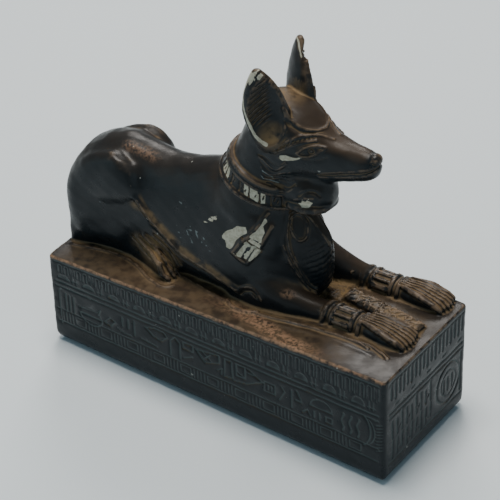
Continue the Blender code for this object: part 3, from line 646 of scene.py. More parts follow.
# Runs on the body's right side, on the chest and on the plinth's top, with a width and a height
BODY_RUNS = (
    (((19.0, -4.2, 40.0), (17.9, -3.9, 35.1), (18.1, -6.0, 30.4), (18.3, -7.0, 25.0)), 0.9, 0.30),
    (((18.3, -7.0, 25.0), (20.0, -5.7, 17.9), (22.4, -4.1, 12.0), (25.7, -2.6, 6.5)), 0.45, 0.45),
    (((20.4, -3.4, 39.0), (19.4, -3.9, 34.0), (19.9, -5.3, 26.0), (21.4, -5.0, 17.9)), 0.8, -0.35),
    (((23.6, -5.1, 45.3), (26.0, -4.6, 47.2), (28.5, -3.7, 47.5), (30.3, -3.0, 46.2)), 0.6, -0.32),
    (((21.8, -5.3, 43.2), (25.0, -5.2, 44.8), (28.2, -4.2, 45.2)), 0.5, 0.24),
    (((-38.5, -12.0, 28.0), (-36.6, -12.4, 24.6), (-34.6, -12.6, 22.6)), 0.7, 0.35),
    (((-41.9, -11.5, 9.4), (-37.8, -12.0, 7.0), (-33.1, -13.6, 5.4), (-28.4, -16.4, 5.4),
      (-26.4, -17.0, 3.0)), 0.55, -0.9),
    (((-38.6, -11.7, 11.0), (-34.8, -12.2, 8.8), (-29.8, -14.6, 8.2), (-26.4, -15.0, 5.4),
      (-24.6, -15.0, 2.6)), 0.5, -1.0),
    (((-35.7, -11.8, 12.8), (-31.5, -11.9, 11.0), (-28.0, -12.1, 9.2), (-24.8, -12.4, 6.6),
      (-23.0, -12.6, 3.0)), 0.5, -1.0),
    (((-32.0, -11.9, 14.0), (-27.6, -12.0, 11.8), (-24.0, -11.6, 8.8), (-21.6, -10.6, 5.0)), 0.5, -0.9),
    (((-40.4, -11.6, 10.2), (-36.2, -12.1, 8.0), (-31.4, -14.2, 7.0), (-27.4, -15.8, 5.6)), 0.55, 0.5),
    (((-37.0, -11.8, 11.9), (-33.2, -12.1, 9.9), (-28.8, -13.4, 8.8), (-25.6, -13.8, 5.8)), 0.55, 0.5),
    (((3.3, -13.6, 4.6), (5.7, -12.8, 6.6), (9.3, -12.7, 7.6), (11.7, -12.7, 6.0),
      (12.9, -12.7, 3.9)), 0.5, 0.5),
    (((4.4, -13.4, 3.2), (6.4, -13.0, 5.0), (9.2, -12.9, 5.8), (11.2, -12.9, 4.4)), 0.5, -0.5),
    (((-61.0, -13.2, 4.8), (-56.0, -12.2, 5.6), (-49.0, -11.8, 6.6)), 3.8, 1.2),
)
CHEST_RUNS = (
    (((18.9, -5.5, 28.4), (18.7, -2.8, 35.5), (23.1, 0.6, 33.8), (27.1, 1.5, 29.1),
      (30.2, 2.8, 23.3)), 0.45, 0.36),
    (((18.9, -5.5, 28.4), (20.0, -5.5, 22.7), (22.2, -4.3, 15.4), (24.8, -2.3, 8.5),
      (27.2, -0.6, 5.8)), 0.5, 0.42),
    (((18.9, -3.1, 34.2), (20.1, -1.4, 35.0), (22.2, -0.4, 33.7), (24.0, -0.8, 30.2), (23.9, -1.9, 26.8),
      (22.2, -3.4, 25.9), (20.1, -4.3, 28.5), (19.2, -4.1, 31.7), (18.9, -3.1, 34.2)), 0.45, 0.42),
)
GROUND_RUNS = (
    (((-67.0, -15.6), (-60.0, -14.2), (-52.0, -12.6), (-44.0, -12.8), (-37.0, -15.0), (-31.0, -18.0),
      (-25.0, -19.6)),
     0.6, 0.45),
    (((-25.0, -19.6), (-22.4, -19.2), (-20.6, -17.0)), 0.6, 0.35),
    (((-22.0, -11.4), (-14.0, -12.6), (-6.0, -14.2), (0.6, -14.8)), 0.8, 0.35),
    (((0.4, -14.6), (3.0, -16.4), (6.6, -17.0), (10.2, -16.4), (12.8, -14.8)), 0.6, 0.8),
    (((11.0, -15.6), (15.4, -15.4), (22.0, -14.4), (31.0, -12.8), (40.0, -11.8), (49.0, -11.4),
      (55.0, -12.4)), 0.7, 0.6),
    (((49.0, -11.4), (55.0, -10.9), (60.0, -12.2), (63.4, -13.8)), 0.6, 0.6),
    (((17.0, -17.6), (26.0, -16.0), (38.0, -14.6), (50.0, -14.4), (58.0, -15.2)), 1.0, 0.25),
)

# Rows and bars of faint strokes on the chest, as measured from its middle y
CHEST_MIDDLE = 3.6
CHEST_HALF = 7
CHEST_TOP = 27
CHEST_LEAN = 0.9
CHEST_ROW_PITCH = 2.2
CHEST_BAR_PITCH = 2.0
CHEST_ROW_CUT = -0.11
CHEST_BAR_CUT = -0.07
CHEST_FREE = 0.05

# The collar's panels lie round an axis, in a band between two heights above its tilted foot.
COLLAR_AXIS = (5.9, 2.0)
COLLAR_SLOPE = 0.36
COLLAR_REACH = 18
COLLAR_HEIGHTS = (30, 62)
COLLAR_BAND = (43.4, 47.2)
COLLAR_PANELS = 22
COLLAR_BAR_SHARE = 0.07
COLLAR_BAR_CUT = -0.42
COLLAR_MARK_CUT = -0.30
COLLAR_LEAN = 0.20

# A stroke in a panel: its place, its width, its middle height and half its height
COLLAR_STROKES = ((0.32, 0.06, 0.15, 0.5), (0.66, 0.05, -0.2, 0.38))

# Strokes in the ears. Their reach is how deep and how high, and from where to where across.
EAR_STROKE_PITCH = 1.7
EAR_STROKE_LEAN = 0.75
EAR_STROKE_CUT = -0.34
EAR_STROKE_TROUGH = -0.3
EAR_STROKE_REACH = (5.5, 12, -6.2, 2.0)
EAR_STROKE_FOOT = (-7, 4)
EAR_STROKE_FADE = 2.5
EAR_STROKE_SHARE = 0.88
EAR_FACING = 0.15

# The chip in the left ear. A wave of its ragged edge is a size, a rate and a start.
CHIP_REACH = (6, 9)
CHIP_START = 0.6
CHIP_WIDTH = 1.2
CHIP_LOW = 8.2
CHIP_HIGH = 13.2
CHIP_SHARPNESS = 0.7
CHIP_FADE = 2.4
CHIP_DEPTH = 1.3
CHIP_WAVES = ((0.35, 2.9, 0.0), (0.25, 5.3, 1.0))

# Feet, cuffs, and the card and grit between the forelegs
TOE_GROOVE = (0.34, -0.75)
TOE_LEAD = 2
CUFF_BARS = 9
CUFF_REACH = 5
CUFF_BAR = (0.24, 0.36)
CUFF_WORN = (0.20, 0.9)
CARD_SEED = 7
CARD_SIGNS = 26
CARD_START = (34, 8.3)
CARD_DRIFT = 0.163
CARD_FIRST = 35.6
CARD_PITCH = 2.35
CARD_COLUMN = 1.7
CARD_SIGN_SIZE = 1.05
CARD_STROKE = (0.28, 0.60)
CARD_PROUD = 0.5
GRIT_SEED = 11
GRIT_GRAINS = 150
GRIT_FIELD = ((19.5, 34), (-1.5, 15.5))
GRIT_SIZE = (0.3, 1.0)
GRIT_WIDTH = 0.26
GRIT_HEIGHTS = (-0.35, 0.45)
GRIT_PROUD = 0.4

# Size of the skin's slight wander, and how many of its widths a line's push reaches
WANDER = 0.045
LINE_REACH = 2.2


def nearest(thing, x, y, h):
    """The place on the skin nearest to a point of the grid."""
    place = thing.closest_point_on_mesh(on_plinth(x, y, h))[1]
    x, y, z = place / GRID
    return x, y, z - plinth_height(x)


def follow(thing, points, steps=5):
    """A smooth run through the points, laid on the skin."""
    return [nearest(thing, *point) for point in curved(points, steps)]


def mirrored(points, level):
    """The same run on the other side of a level y."""
    return [(x, 2 * level - y, h) for x, y, h in points]


def plinth_block(bm):
    """The plinth, with its edges rounded: most at the foot, least round the top."""
    half = WIDTH / 2
    corners = ((0, -half), (1, -half), (1, half), (0, half))

    def corner(u, y, v):
        x = (u - 0.5) * LENGTH
        return Vector((x, y, v * plinth_height(x))) * GRID

    def on_top(vert):
        return abs(vert.co.z - plinth_height(vert.co.x / GRID) * GRID) < TOUCHING

    block = bmesh.new()
    low = [block.verts.new(corner(u, y, 0)) for u, y in corners]
    high = [block.verts.new(corner(u, y, 1)) for u, y in corners]
    block.faces.new(low[::-1])
    block.faces.new(high)
    for k in range(4):
        after = (k + 1) % 4
        block.faces.new((low[k], low[after], high[after], high[k]))
    upright = [edge for edge in block.edges if (edge.verts[0] in low) != (edge.verts[1] in low)]
    bevel(block, upright, CORNER_ROUNDING, 3)
    bevel(block, [e for e in block.edges if all(v.co.z < TOUCHING for v in e.verts)], FOOT_ROUNDING, 5)
    bevel(block, [e for e in block.edges if all(on_top(v) for v in e.verts)], TOP_ROUNDING, 1)
    mesh = bpy.data.meshes.new("block")
    block.to_mesh(mesh)
    block.free()
    bm.from_mesh(mesh)
    bpy.data.meshes.remove(mesh)


def bevel(bm, edges, offset, segments):
    """Round edges by an offset in millimetres."""
    bmesh.ops.bevel(bm, geom=edges, offset=offset * GRID, segments=segments, affect="EDGES", profile=0.5)


def read_mesh(thing):
    """Places on the jackal's grid, unit normals and edges of the mesh's vertices."""
    mesh = thing.data
    count = len(mesh.vertices)
    spots = np.empty(count * 3)
    mesh.vertices.foreach_get("co", spots)
    spots = spots.reshape(-1, 3) / GRID
    spots[:, 2] -= plinth_height(spots[:, 0])
    normals = np.empty(count * 3, np.float32)
    mesh.vertex_normals.foreach_get("vector", normals)
    edges = np.empty(len(mesh.edges) * 2, np.int32)
    mesh.edges.foreach_get("vertices", edges)
    return spots, normals.reshape(-1, 3).astype(float), edges.reshape(-1, 2)


def line_gap(spots, run):
    """Distance of each spot from a run of straight stretches."""
    gap = np.full(len(spots), np.inf)
    for start, end in zip(run, run[1:]):
        along = end - start
        share = np.clip((spots - start) @ along / max(along @ along, 1e-12), 0, 1)
        gap = np.minimum(gap, np.linalg.norm(spots - start - share[:, None] * along, axis=1))
    return gap


def ramp(values, start, end):
    """0 at the start, 1 at the end, and level beyond them."""
    return np.clip((values - start) / (end - start), 0, 1)


def press(spots, shift, run, width, height):
    """Add a line's push to the shift, where it is stronger than what is there."""
    run = [np.array(point, float) for point in run]
    reach = LINE_REACH * width
    low = np.min(run, axis=0) - reach
    high = np.max(run, axis=0) + reach
    near = np.nonzero(np.all((spots > low) & (spots < high), axis=1))[0]
    if len(near) == 0:
        return
    push = height * np.exp(-(line_gap(spots[near], run) / width) ** 2)
    stronger = np.abs(push) > np.abs(shift[near])
    shift[near[stronger]] = push[stronger]


def trace(thing, points, side, steps=6):
    """Places on the skin of a smooth line given by x and h as seen from a side."""
    run = []
    for x, h in curved(points, steps):
        start = on_plinth(x, midline(x) + side * FAR_OUT, h)
        found, place = thing.ray_cast(start, Vector((0, -side, 0)))[:2]
        if found:
            x, y, z = place / GRID
            run.append((x, y, z - plinth_height(x)))
    return run


# Rows on the plinth's sides, as heights in millimetres at the rear and at the front end
RIM_LINE = (35.6, 41.4)
FRIEZE_TOP = (34.6, 40.4)
FRIEZE_SPLIT = (31.4, 34.6)
FRIEZE_FOOT = (28.2, 29.9)
REGISTER_LINES = ((27.2, 28.9), (25.1, 26.8))
REGISTER_TOP = 24.6
REGISTER_FOOT = 15.8
LADDER_LINES = ((14.9, 14.9), (9.4, 9.6))
LADDER_BAND = (10.2, 14.2)
LADDER_PERIOD = 11.6
LADDER_BARS = 4
LADDER_BAR_PITCH = 1.45
FRIEZE_PITCH = 2.8
FRONT_FRIEZE_PITCH = 2.4
FRONT_FOOT_LINE = 7.4
GROOVE = (0.34, -0.42)
FINE_GROOVE = (0.26, -0.34)
SIGN_GROOVE = (0.42, -0.50)
SUNK_SIGN = -0.32
SUNK_EDGE = 0.5

# Points along a row, a wavering stroke, the frieze's arches and domes by its pitch, and the blanks
ROW_POINTS = 9
WAVE_SWING = 0.45
WAVE_TURNS = 2.6
ARCH_HALF = 0.30
ARCH_GROUP = 7
BROKEN_ARCHES = (2, 5)
DOME_HALF = 0.9
DOME_PERIOD = 4
DOME_BARS = (1.5, 2.1)
DOME_BASE = (1.3, 2.4)
BLANK_GAP = 1.4
BLANK_LEAST = 2
BLANK_INSET = 0.5
FACE_FLAT = 0.80
FACE_EDGE = 1.2


class Side:
    """One side of the plinth, on which strokes are pressed."""

    def __init__(self, name, spots, normals):
        self.name = name
        self.along_x = name in ("right", "left")
        self.length = LENGTH if self.along_x else WIDTH
        way = {"right": -1, "left": 1, "front": 1, "rear": -1}[name]
        across, outer = (1, WIDTH / 2) if self.along_x else (0, LENGTH / 2)
        at_face = way * spots[:, across] > outer - FACE_EDGE
        facing = way * normals[:, across] > FACE_FLAT
        self.index = np.nonzero(at_face & facing & (spots[:, 2] < 0.5))[0]
        picked = spots[self.index]
        if name == "right":
            s = picked[:, 0] + LENGTH / 2
        elif name == "left":
            s = LENGTH / 2 - picked[:, 0]
        elif name == "front":
            s = picked[:, 1] + WIDTH / 2
        else:
            s = WIDTH / 2 - picked[:, 1]
        z = picked[:, 2] + plinth_height(picked[:, 0])
        self.places = np.stack([s, z], axis=1)
        self.shift = np.zeros(len(self.index))

    def row(self, levels, s):
        """Height of a row at s on this side."""
        if self.name == "front":
            return levels[1]
        if self.name == "rear":
            return levels[0]
        share = s / self.length
        return levels[0] + (levels[1] - levels[0]) * (share if self.name == "right" else 1 - share)

    def line(self, points, groove=GROOVE):
        """A run of strokes through points of s and z."""
        press(self.places, self.shift, points, *groove)

    def sink(self, inside, depth=SUNK_SIGN):
        """Sink a patch, given as a number that is over 0 inside it."""
        push = depth * np.clip(inside / SUNK_EDGE, 0, 1)
        self.shift = np.where(push < self.shift, push, self.shift)

    def long_line(self, levels, start, end, groove=GROOVE):
        """A line along a row."""
        places = np.linspace(start, end, ROW_POINTS)
        self.line([(s, self.row(levels, s)) for s in places], groove)

    def bars(self, places, foot, top, groove=GROOVE):
        """Upright strokes."""
        for s in places:
            self.line([(s, foot), (s, top)], groove)

    def arc(self, centre, radii, start, end, groove=GROOVE, steps=10):
        """Part of an oval outline, between two angles in degrees."""
        angles = np.radians(np.linspace(start, end, steps))
        self.line([(centre[0] + radii[0] * cos(t), centre[1] + radii[1] * sin(t)) for t in angles], groove)

    def frame(self, s0, z0, s1, z1, groove=GROOVE):
        """An upright rectangle."""
        self.line([(s0, z0), (s1, z0), (s1, z1), (s0, z1), (s0, z0)], groove)

    def dome(self, s0, s1, foot, rise, groove=GROOVE):
        """A half oval on a base line, sunk inside."""
        middle, half = (s0 + s1) / 2, (s1 - s0) / 2
        self.arc((middle, foot), (half, rise), 0, 180, groove)
        self.line([(s0, foot), (s1, foot)], groove)
        s, z = self.places.T
        inside = (1 - ((s - middle) / half) ** 2 - ((z - foot) / rise) ** 2) * half
        self.sink(np.where(z > foot, inside, -1))

    def wave(self, s, foot, top, groove=SIGN_GROOVE):
        """An upright stroke that wavers."""
        steps = np.linspace(0, 1, ROW_POINTS)
        run = [(s + WAVE_SWING * sin(WAVE_TURNS * pi * t), foot + (top - foot) * t) for t in steps]
        self.line(run, groove)


def frieze(side, pitch, start, end):
    """Small arches in a row, over a row of domes with short bars between them."""
    places = np.arange(start + pitch / 2, end, pitch)
    for k, s in enumerate(places):
        foot = side.row(FRIEZE_SPLIT, s)
        top = side.row(FRIEZE_TOP, s)
        half = pitch * ARCH_HALF
        if k % ARCH_GROUP in BROKEN_ARCHES:
            side.bars((s - half, s + half), foot + half, top, FINE_GROOVE)
            side.bars((s,), foot, top - half, FINE_GROOVE)
        else:
            side.bars((s - half, s + half), foot, top - half, FINE_GROOVE)
            side.arc((s, top - half), (half, half), 0, 180, FINE_GROOVE, 6)
    period = pitch * DOME_PERIOD
    for s in np.arange(start + pitch, end - period / 2, period):
        foot = side.row(FRIEZE_FOOT, s) + 0.5
        top = side.row(FRIEZE_SPLIT, s) - 0.8
        side.dome(s - pitch * DOME_HALF, s + pitch * DOME_HALF, foot + 0.3, top - foot - 0.4, FINE_GROOVE)
        side.bars([s + pitch * share for share in DOME_BARS], foot, top + 0.4, FINE_GROOVE)
        side.line([(s + pitch * share, foot + 0.9) for share in DOME_BASE], FINE_GROOVE)


def ladder(side, start, end):
    """Groups of short bars between long rounded blanks."""
    foot, top = LADDER_BAND
    for s in np.arange(start, end - LADDER_PERIOD / 2, LADDER_PERIOD):
        side.bars([s + k * LADDER_BAR_PITCH for k in range(LADDER_BARS)], foot, top, FINE_GROOVE)
        blank = s + LADDER_BARS * LADDER_BAR_PITCH
        last = min(s + LADDER_PERIOD - BLANK_GAP, end)
        if last - blank > BLANK_LEAST:
            side.frame(blank, foot + BLANK_INSET, last, top - BLANK_INSET, FINE_GROOVE)


def right_register(side):
    """The broad row on the right side, from the rear to the front."""
    low, high = REGISTER_FOOT, REGISTER_TOP
    big = SIGN_GROOVE
    side.line([(3.8, 8.6), (3.6, high - 1.6), (4.6, high - 0.4)])
    side.bars((6.6, 8.3, 10.1), low - 1.0, high - 2.0, big)
    side.line([(12.7, 19.6), (20.4, 19.9), (22.1, 21.6), (20.9, 18.9)], big)
    side.dome(12.8, 22.7, 17.3, -4.0, big)
    side.line([(23.7, 17.4), (26.4, 20.3), (28.8, 19.4), (26.6, 16.9), (23.7, 17.4)], big)
    side.bars((32.0, 34.5), 19.4, 23.2, big)
    side.bars((37.2,), 17.6, 23.5, big)
    side.line([(29.6, 17.6), (32.4, 16.4), (35.6, 16.6)])
    side.line([(42.2, 23.4), (45.4, 20.9), (49.2, 20.3), (51.6, 22.8), (50.2, 24.4), (46.1, 24.5),
               (42.2, 23.4)], big)
    side.line([(40.2, 17.6), (47.0, 16.8)])
    side.line([(52.9, 16.0), (52.9, 22.2), (54.9, 24.3), (57.0, 22.4), (56.9, 16.0)], big)
    side.frame(58.3, 21.4, 62.5, 24.0, big)
    side.line([(58.4, 17.2), (62.4, 19.2)])
    side.line([(63.8, 23.4), (73.6, 24.9), (73.6, 21.6), (67.6, 19.4), (63.8, 23.4)], big)
    side.line([(66.6, 23.4), (70.4, 20.8)])
    side.line([(70.0, 23.6), (67.2, 20.6)])
    side.line([(72.8, 18.4), (74.8, 20.0), (74.4, 17.2)], big)
    side.line([(75.6, 17.0), (76.0, 24.6), (78.8, 24.6), (79.2, 17.6), (75.6, 17.0)], big)
    side.frame(80.7, 19.8, 84.3, 24.6, big)
    side.line([(80.8, 21.8), (84.2, 20.0)])
    side.line([(79.6, 17.0), (85.0, 18.0), (91.6, 21.6), (85.4, 24.6)], big)
    side.line([(85.6, 22.8), (88.4, 23.0)])
    side.frame(92.2, 18.6, 96.6, 22.6)
    side.bars((93.8, 95.2), 19.6, 21.4, big)
    side.line([(98.4, 17.4), (100.6, 21.8), (99.4, 23.4)])
    side.bars((103.4,), 16.6, 23.9, big)
    side.line([(105.4, 24.4), (107.4, 20.4), (105.2, 20.5)], big)
    side.dome(110.8, 119.4, 21.2, 3.6, big)
    side.line([(107.7, 16.7), (109.6, 18.5), (110.8, 16.6)], big)
    side.bars((112.4, 114.6), 16.6, 19.0, big)
    side.frame(117.0, 16.7, 119.4, 18.8)
    for s in (123.6, 126.6, 129.6):
        side.wave(s, 16.3, 23.8)
    side.arc((129.6, 20.4), (4.9, 7.0), -62, 62, big, 12)
    side.arc((130.6, 20.4), (5.5, 6.4), -56, 56)
    for k in range(9):
        z = 13.8 + k * 1.35
        side.line([(136.6, z), (139.0, z + 0.9)], FINE_GROOVE)


def front_register(side):
    """Columns of strokes on the front end, beside a large round outline."""
    foot, top = FRONT_FOOT_LINE + 1.2, REGISTER_LINES[1][1] - 1.0
    middle = (foot + top) / 2
    for k, s in enumerate(np.arange(5.0, 30.0, 2.9)):
        side.line([(s, foot + 0.8 * (k % 3)), (s + 0.3, middle - 1.0 - 0.7 * (k % 2))], SIGN_GROOVE)
        side.line([(s, middle + 0.6 * (k % 2)), (s - 0.2, top - 1.1 * ((k + 1) % 3))], SIGN_GROOVE)
        if k % 2:
            side.line([(s + 1.1, middle + 2.6), (s + 1.8, middle + 3.4)])
            side.line([(s + 1.1, foot + 2.4), (s + 1.8, foot + 1.8)])
    side.arc((39.4, middle), (7.4, 8.0), 0, 360, SIGN_GROOVE, 24)
    side.arc((39.4, middle), (4.6, 5.2), 0, 360, FINE_GROOVE, 20)
    side.bars((36.6, 39.0, 41.6), middle - 3.0, middle + 2.6, GROOVE)
    side.bars((47.2,), foot + 0.4, top - 0.4, SIGN_GROOVE)


def plain_register(side, foot):
    """A sparser row of strokes for the sides that the photograph doesn't show."""
    top = REGISTER_TOP
    third = (top - foot) / 3
    pitch = 7.6
    for k, s in enumerate(np.arange(7.5, side.length - 6.0, pitch)):
        kind = (k * 3) % 5
        if kind == 0:
            side.bars((s - 1.6, s, s + 1.6), foot + 0.6, top - 0.6, SIGN_GROOVE)
        elif kind == 1:
            side.dome(s - 2.8, s + 2.8, foot + third * 1.6, third, SIGN_GROOVE)
            side.line([(s - 2.0, foot + 1.0), (s + 2.0, foot + 1.0)], SIGN_GROOVE)
        elif kind == 2:
            side.line([(s - 2.6, foot + 0.8), (s - 0.8, top - 0.8)], SIGN_GROOVE)
            side.line([(s - 0.2, foot + 0.8), (s + 1.6, top - 0.8)], SIGN_GROOVE)
        elif kind == 3:
            side.frame(s - 2.2, foot + third, s + 2.2, top - 0.8, SIGN_GROOVE)
            side.line([(s - 2.2, foot + 0.8), (s + 2.2, foot + 1.4)], SIGN_GROOVE)
        else:
            peak, waist = top - 0.8, foot + third * 1.2
            side.line([(s - 2.8, foot + third * 2), (s, peak), (s + 2.8, foot + third * 2), (s, waist),
                       (s - 2.8, foot + third * 2)], SIGN_GROOVE)
            side.line([(s - 2.2, foot + 1.4), (s + 2.2, foot + 0.7)], SIGN_GROOVE)


def carve_sides(spots, normals, shift):
    """Press the rows of signs into the plinth's four sides."""
    for name in ("right", "front", "left", "rear"):
        side = Side(name, spots, normals)
        margin = 2.6
        start, end = margin, side.length - margin
        side.long_line(RIM_LINE, start, end)
        for levels in REGISTER_LINES:
            side.long_line(levels, start, end)
        if side.along_x:
            frieze(side, FRIEZE_PITCH, start + 1.0, end - 0.6)
            for levels in LADDER_LINES:
                side.long_line(levels, start, end)
            ladder(side, start + 2.0, end - 1.0)
        else:
            frieze_bars(side, start + 0.6, end - 0.4)
        if name == "right":
            right_register(side)
        elif name == "front":
            side.long_line((FRONT_FOOT_LINE, FRONT_FOOT_LINE), start, end)
            front_register(side)
        elif name == "left":
            plain_register(side, REGISTER_FOOT)
        else:
            side.long_line((FRONT_FOOT_LINE, FRONT_FOOT_LINE), start, end)
            plain_register(side, FRONT_FOOT_LINE + 1.4)
        shift[side.index] = side.shift


def frieze_bars(side, start, end):
    """The plain upright bars of the frieze on the two ends."""
    for k, s in enumerate(np.arange(start + 0.8, end, FRONT_FRIEZE_PITCH)):
        foot = side.row(FRIEZE_SPLIT, s) - 0.9 * (k % 2)
        side.line([(s, foot), (s, side.row(FRIEZE_TOP, s))], SIGN_GROOVE)
        if k % 4 == 1:
            side.line([(s - 0.2, foot - 2.6), (s + 1.8, foot - 2.4)], FINE_GROOVE)


def carve_lines(thing, spots, shift, lines, sides):
    """Raise or cut lines in the skin where each line, seen from a side, meets it."""
    for side in sides:
        for points, width, height in lines:
            run = trace(thing, points, side)
            if len(run) > 1:
                press(spots, shift, run, width, height)


def carve_runs(thing, spots, shift, runs, level=None):
    """Raise or cut runs in the skin, and their mirror images about a level y."""
    for points, width, height in runs:
        press(spots, shift, follow(thing, points), width, height)
        if level is not None:
            press(spots, shift, follow(thing, mirrored(points, level)), width, height)


def ground_runs(spots, shift):
    """Low ridges and grooves on the plinth's top round the legs."""
    for points, width, height in GROUND_RUNS:
        press(spots, shift, [(x, y, 0.0) for x, y in curved(points)], width, height)


def eyes(thing, spots, shift):
    """The ring of each pupil, and the scales of each brow band."""
    (x, y, h), radius = PUPIL
    ahead, outward = PUPIL_FACING
    ring = []
    for t in np.linspace(0, 2 * pi, 13):
        ring.append((x + radius * ahead * cos(t), y + radius * outward * cos(t), h + radius * sin(t)))
    band = curved(BROW_SCALES, 8)
    for side in (ring, mirrored(ring, HEAD_LEVEL)):
        press(spots, shift, [nearest(thing, *point) for point in side], *PUPIL_CUT)
    lean, half = SCALE_STROKE
    for side in (band, mirrored(band, HEAD_LEVEL)):
        walked = 0.0
        for before, here in zip(side, side[1:]):
            walked += float(np.linalg.norm(np.array(here) - before))
            if walked > SCALE_PITCH:
                walked = 0.0
                x, y, h = nearest(thing, *here)
                press(spots, shift, [(x - lean, y, h - half), (x + lean, y, h + half)], *SCALE_CUT)


def cheek_fur(thing, spots, shift):
    """Wavy strokes sweeping back from the jaw to the neck, raised and cut in by turns."""
    length, drift, sag, ripple = CHEEK_SWEEP
    for k in range(CHEEK_STROKES):
        x, y, h = (start + k * step for start, step in zip(CHEEK_START, CHEEK_STEP))
        points = []
        for j in range(CHEEK_POINTS):
            u = j / (CHEEK_POINTS - 1)
            wave = ripple * sin(2 * pi * u + k)
            points.append((x + u * length, y + drift * u, h - sag * sin(pi * u) + wave))
        for side in (points, mirrored(points, HEAD_LEVEL)):
            press(spots, shift, follow(thing, side, 3), CHEEK_WIDTH, CHEEK_HEIGHTS[k % 2])


def collar_places(spots):
    """Turn in degrees round the collar, and height above its tilted foot, for each spot."""
    x, y, h = spots.T
    low, high = COLLAR_HEIGHTS
    turn = np.degrees(np.arctan2(y - COLLAR_AXIS[1], x - COLLAR_AXIS[0]))
    rise = h + COLLAR_SLOPE * (x - COLLAR_AXIS[0])
    close = np.hypot(x - COLLAR_AXIS[0], y - COLLAR_AXIS[1]) < COLLAR_REACH
    return turn, rise, close & (h > low) & (h < high)


def collar_marks(turn, rise):
    """How much of a slanting stroke, 0 to 1, lies at each place of the collar's band."""
    low, high = COLLAR_BAND
    around = turn / 360 * COLLAR_PANELS
    part = around % 1
    number = np.floor(around).astype(int) % 3
    up = (rise - (low + high) / 2) / ((high - low) / 2)
    marks = []
    for place, width, middle, half in COLLAR_STROKES:
        stroke = np.exp(-((part - place - COLLAR_LEAN * up) / width) ** 2)
        marks.append(stroke * (np.abs(up - middle) < half))
    first, second = marks
    return np.where(number == 0, np.maximum(first, second), np.where(number == 1, second, first))


def collar_panels(spots, shift):
    """Upright bars between the collar's panels, and a stroke or two in each."""
    turn, rise, near = collar_places(spots)
    low, high = COLLAR_BAND
    inside = near & (rise > low) & (rise < high)
    part = turn / 360 * COLLAR_PANELS % 1
    bar = np.exp(-((np.abs(part - 0.5) - 0.5) / COLLAR_BAR_SHARE) ** 2)
    push = np.minimum(COLLAR_BAR_CUT * bar, COLLAR_MARK_CUT * collar_marks(turn, rise))
    shift[inside] = push[inside]


def ear_places(spots, side):
    """Places of the spots across an ear, out of its hollow and up, and the way that it opens."""
    turn = radians(EAR_TURN)
    wide = np.array([cos(turn), -side * sin(turn), 0])
    open_way = np.array([sin(turn), side * cos(turn), 0])
    x, y, h = EAR_HOLLOW
    local = spots - np.array([x, HEAD_LEVEL + side * y, h])
    return local @ wide, local @ open_way, local[:, 2], open_way


def ear_strokes(spots, normals, shift):
    """Slanting strokes inside each ear, along its outer half."""
    deep, high, outer, inner = EAR_STROKE_REACH
    foot, rise = EAR_STROKE_FOOT
    for side in (1, -1):
        across, out, up, open_way = ear_places(spots, side)
        inside = (normals @ open_way > EAR_FACING) & (np.abs(out) < deep) & (np.abs(up) < high)
        inside &= (across > outer) & (across < inner)
        inside &= np.hypot(across / EAR_HOLLOW_SIZE[0], up / EAR_HOLLOW_SIZE[2]) < EAR_STROKE_SHARE
        wave = np.cos(2 * pi * (up - EAR_STROKE_LEAN * across) / EAR_STROKE_PITCH)
        fade = ramp(across, inner, inner - EAR_STROKE_FADE) * ramp(up, foot, foot + rise)
        push = EAR_STROKE_CUT * np.clip(wave, EAR_STROKE_TROUGH, 1) * fade
        shift[inside] = push[inside]


def far_ear_chip(spots, shift):
    """The left ear's front edge, broken away near the tip."""
    deep, wide = CHIP_REACH
    across, out, up = ear_places(spots, 1)[:3]
    near = (np.abs(out) < deep) & (np.abs(across) < wide) & (up > 0)
    ragged = sum(size * np.sin(rate * up + start) for size, rate, start in CHIP_WAVES)
    low = np.clip((up - CHIP_LOW + ragged) / CHIP_SHARPNESS, 0, 1)
    bite = np.clip((out + CHIP_START) / CHIP_WIDTH, 0, 1) * low * np.clip((CHIP_HIGH - up) / CHIP_FADE, 0, 1)
    shift[near] = np.minimum(shift[near], -CHIP_DEPTH * bite[near])


def small_sign(cx, cy, kind, size):
    """Strokes of one small mark that isn't a letter."""
    if kind == 0:
        return [[(cx + size * cos(t), cy + size * 1.2 * sin(t)) for t in np.linspace(0, 2 * pi, 9)]]
    if kind == 1:
        return [[(cx - size, cy - size), (cx + size, cy - 0.8 * size), (cx + 0.8 * size, cy + size)]]
    if kind == 2:
        return [[(cx - size, cy - size), (cx + size, cy + size)], [(cx - size, cy), (cx, cy + size)]]
    return [[(cx - size, cy), (cx + size, cy)], [(cx, cy - size), (cx, cy + size)]]


def card_middle(x):
    """The y of the card's middle at x."""
    return CARD_START[1] - (x - CARD_START[0]) * CARD_DRIFT


def card_strokes():
    """A crowd of small raised signs in two columns down the card."""
    chance = np.random.default_rng(CARD_SEED)
    for k in range(CARD_SIGNS):
        column, line = k % 2, k // 2
        cx = CARD_FIRST + line * CARD_PITCH + chance.uniform(-0.3, 0.3)
        cy = card_middle(cx) + (2 * column - 1) * CARD_COLUMN + chance.uniform(-0.2, 0.2)
        for run in small_sign(cx, cy, chance.integers(0, 4), CARD_SIGN_SIZE):
            yield (run,) + CARD_STROKE


def grit_strokes():
    """Short strokes lying every way on the ground behind the card."""
    (x_low, x_high), (y_low, y_high) = GRIT_FIELD
    chance = np.random.default_rng(GRIT_SEED)
    for _ in range(GRIT_GRAINS):
        cx, cy = chance.uniform(x_low, x_high), chance.uniform(y_low, y_high)
        turn, size = chance.uniform(0, pi), chance.uniform(*GRIT_SIZE)
        along, aside = size * cos(turn), size * sin(turn)
        yield [(cx - along, cy - aside), (cx + along, cy + aside)], GRIT_WIDTH, chance.uniform(*GRIT_HEIGHTS)


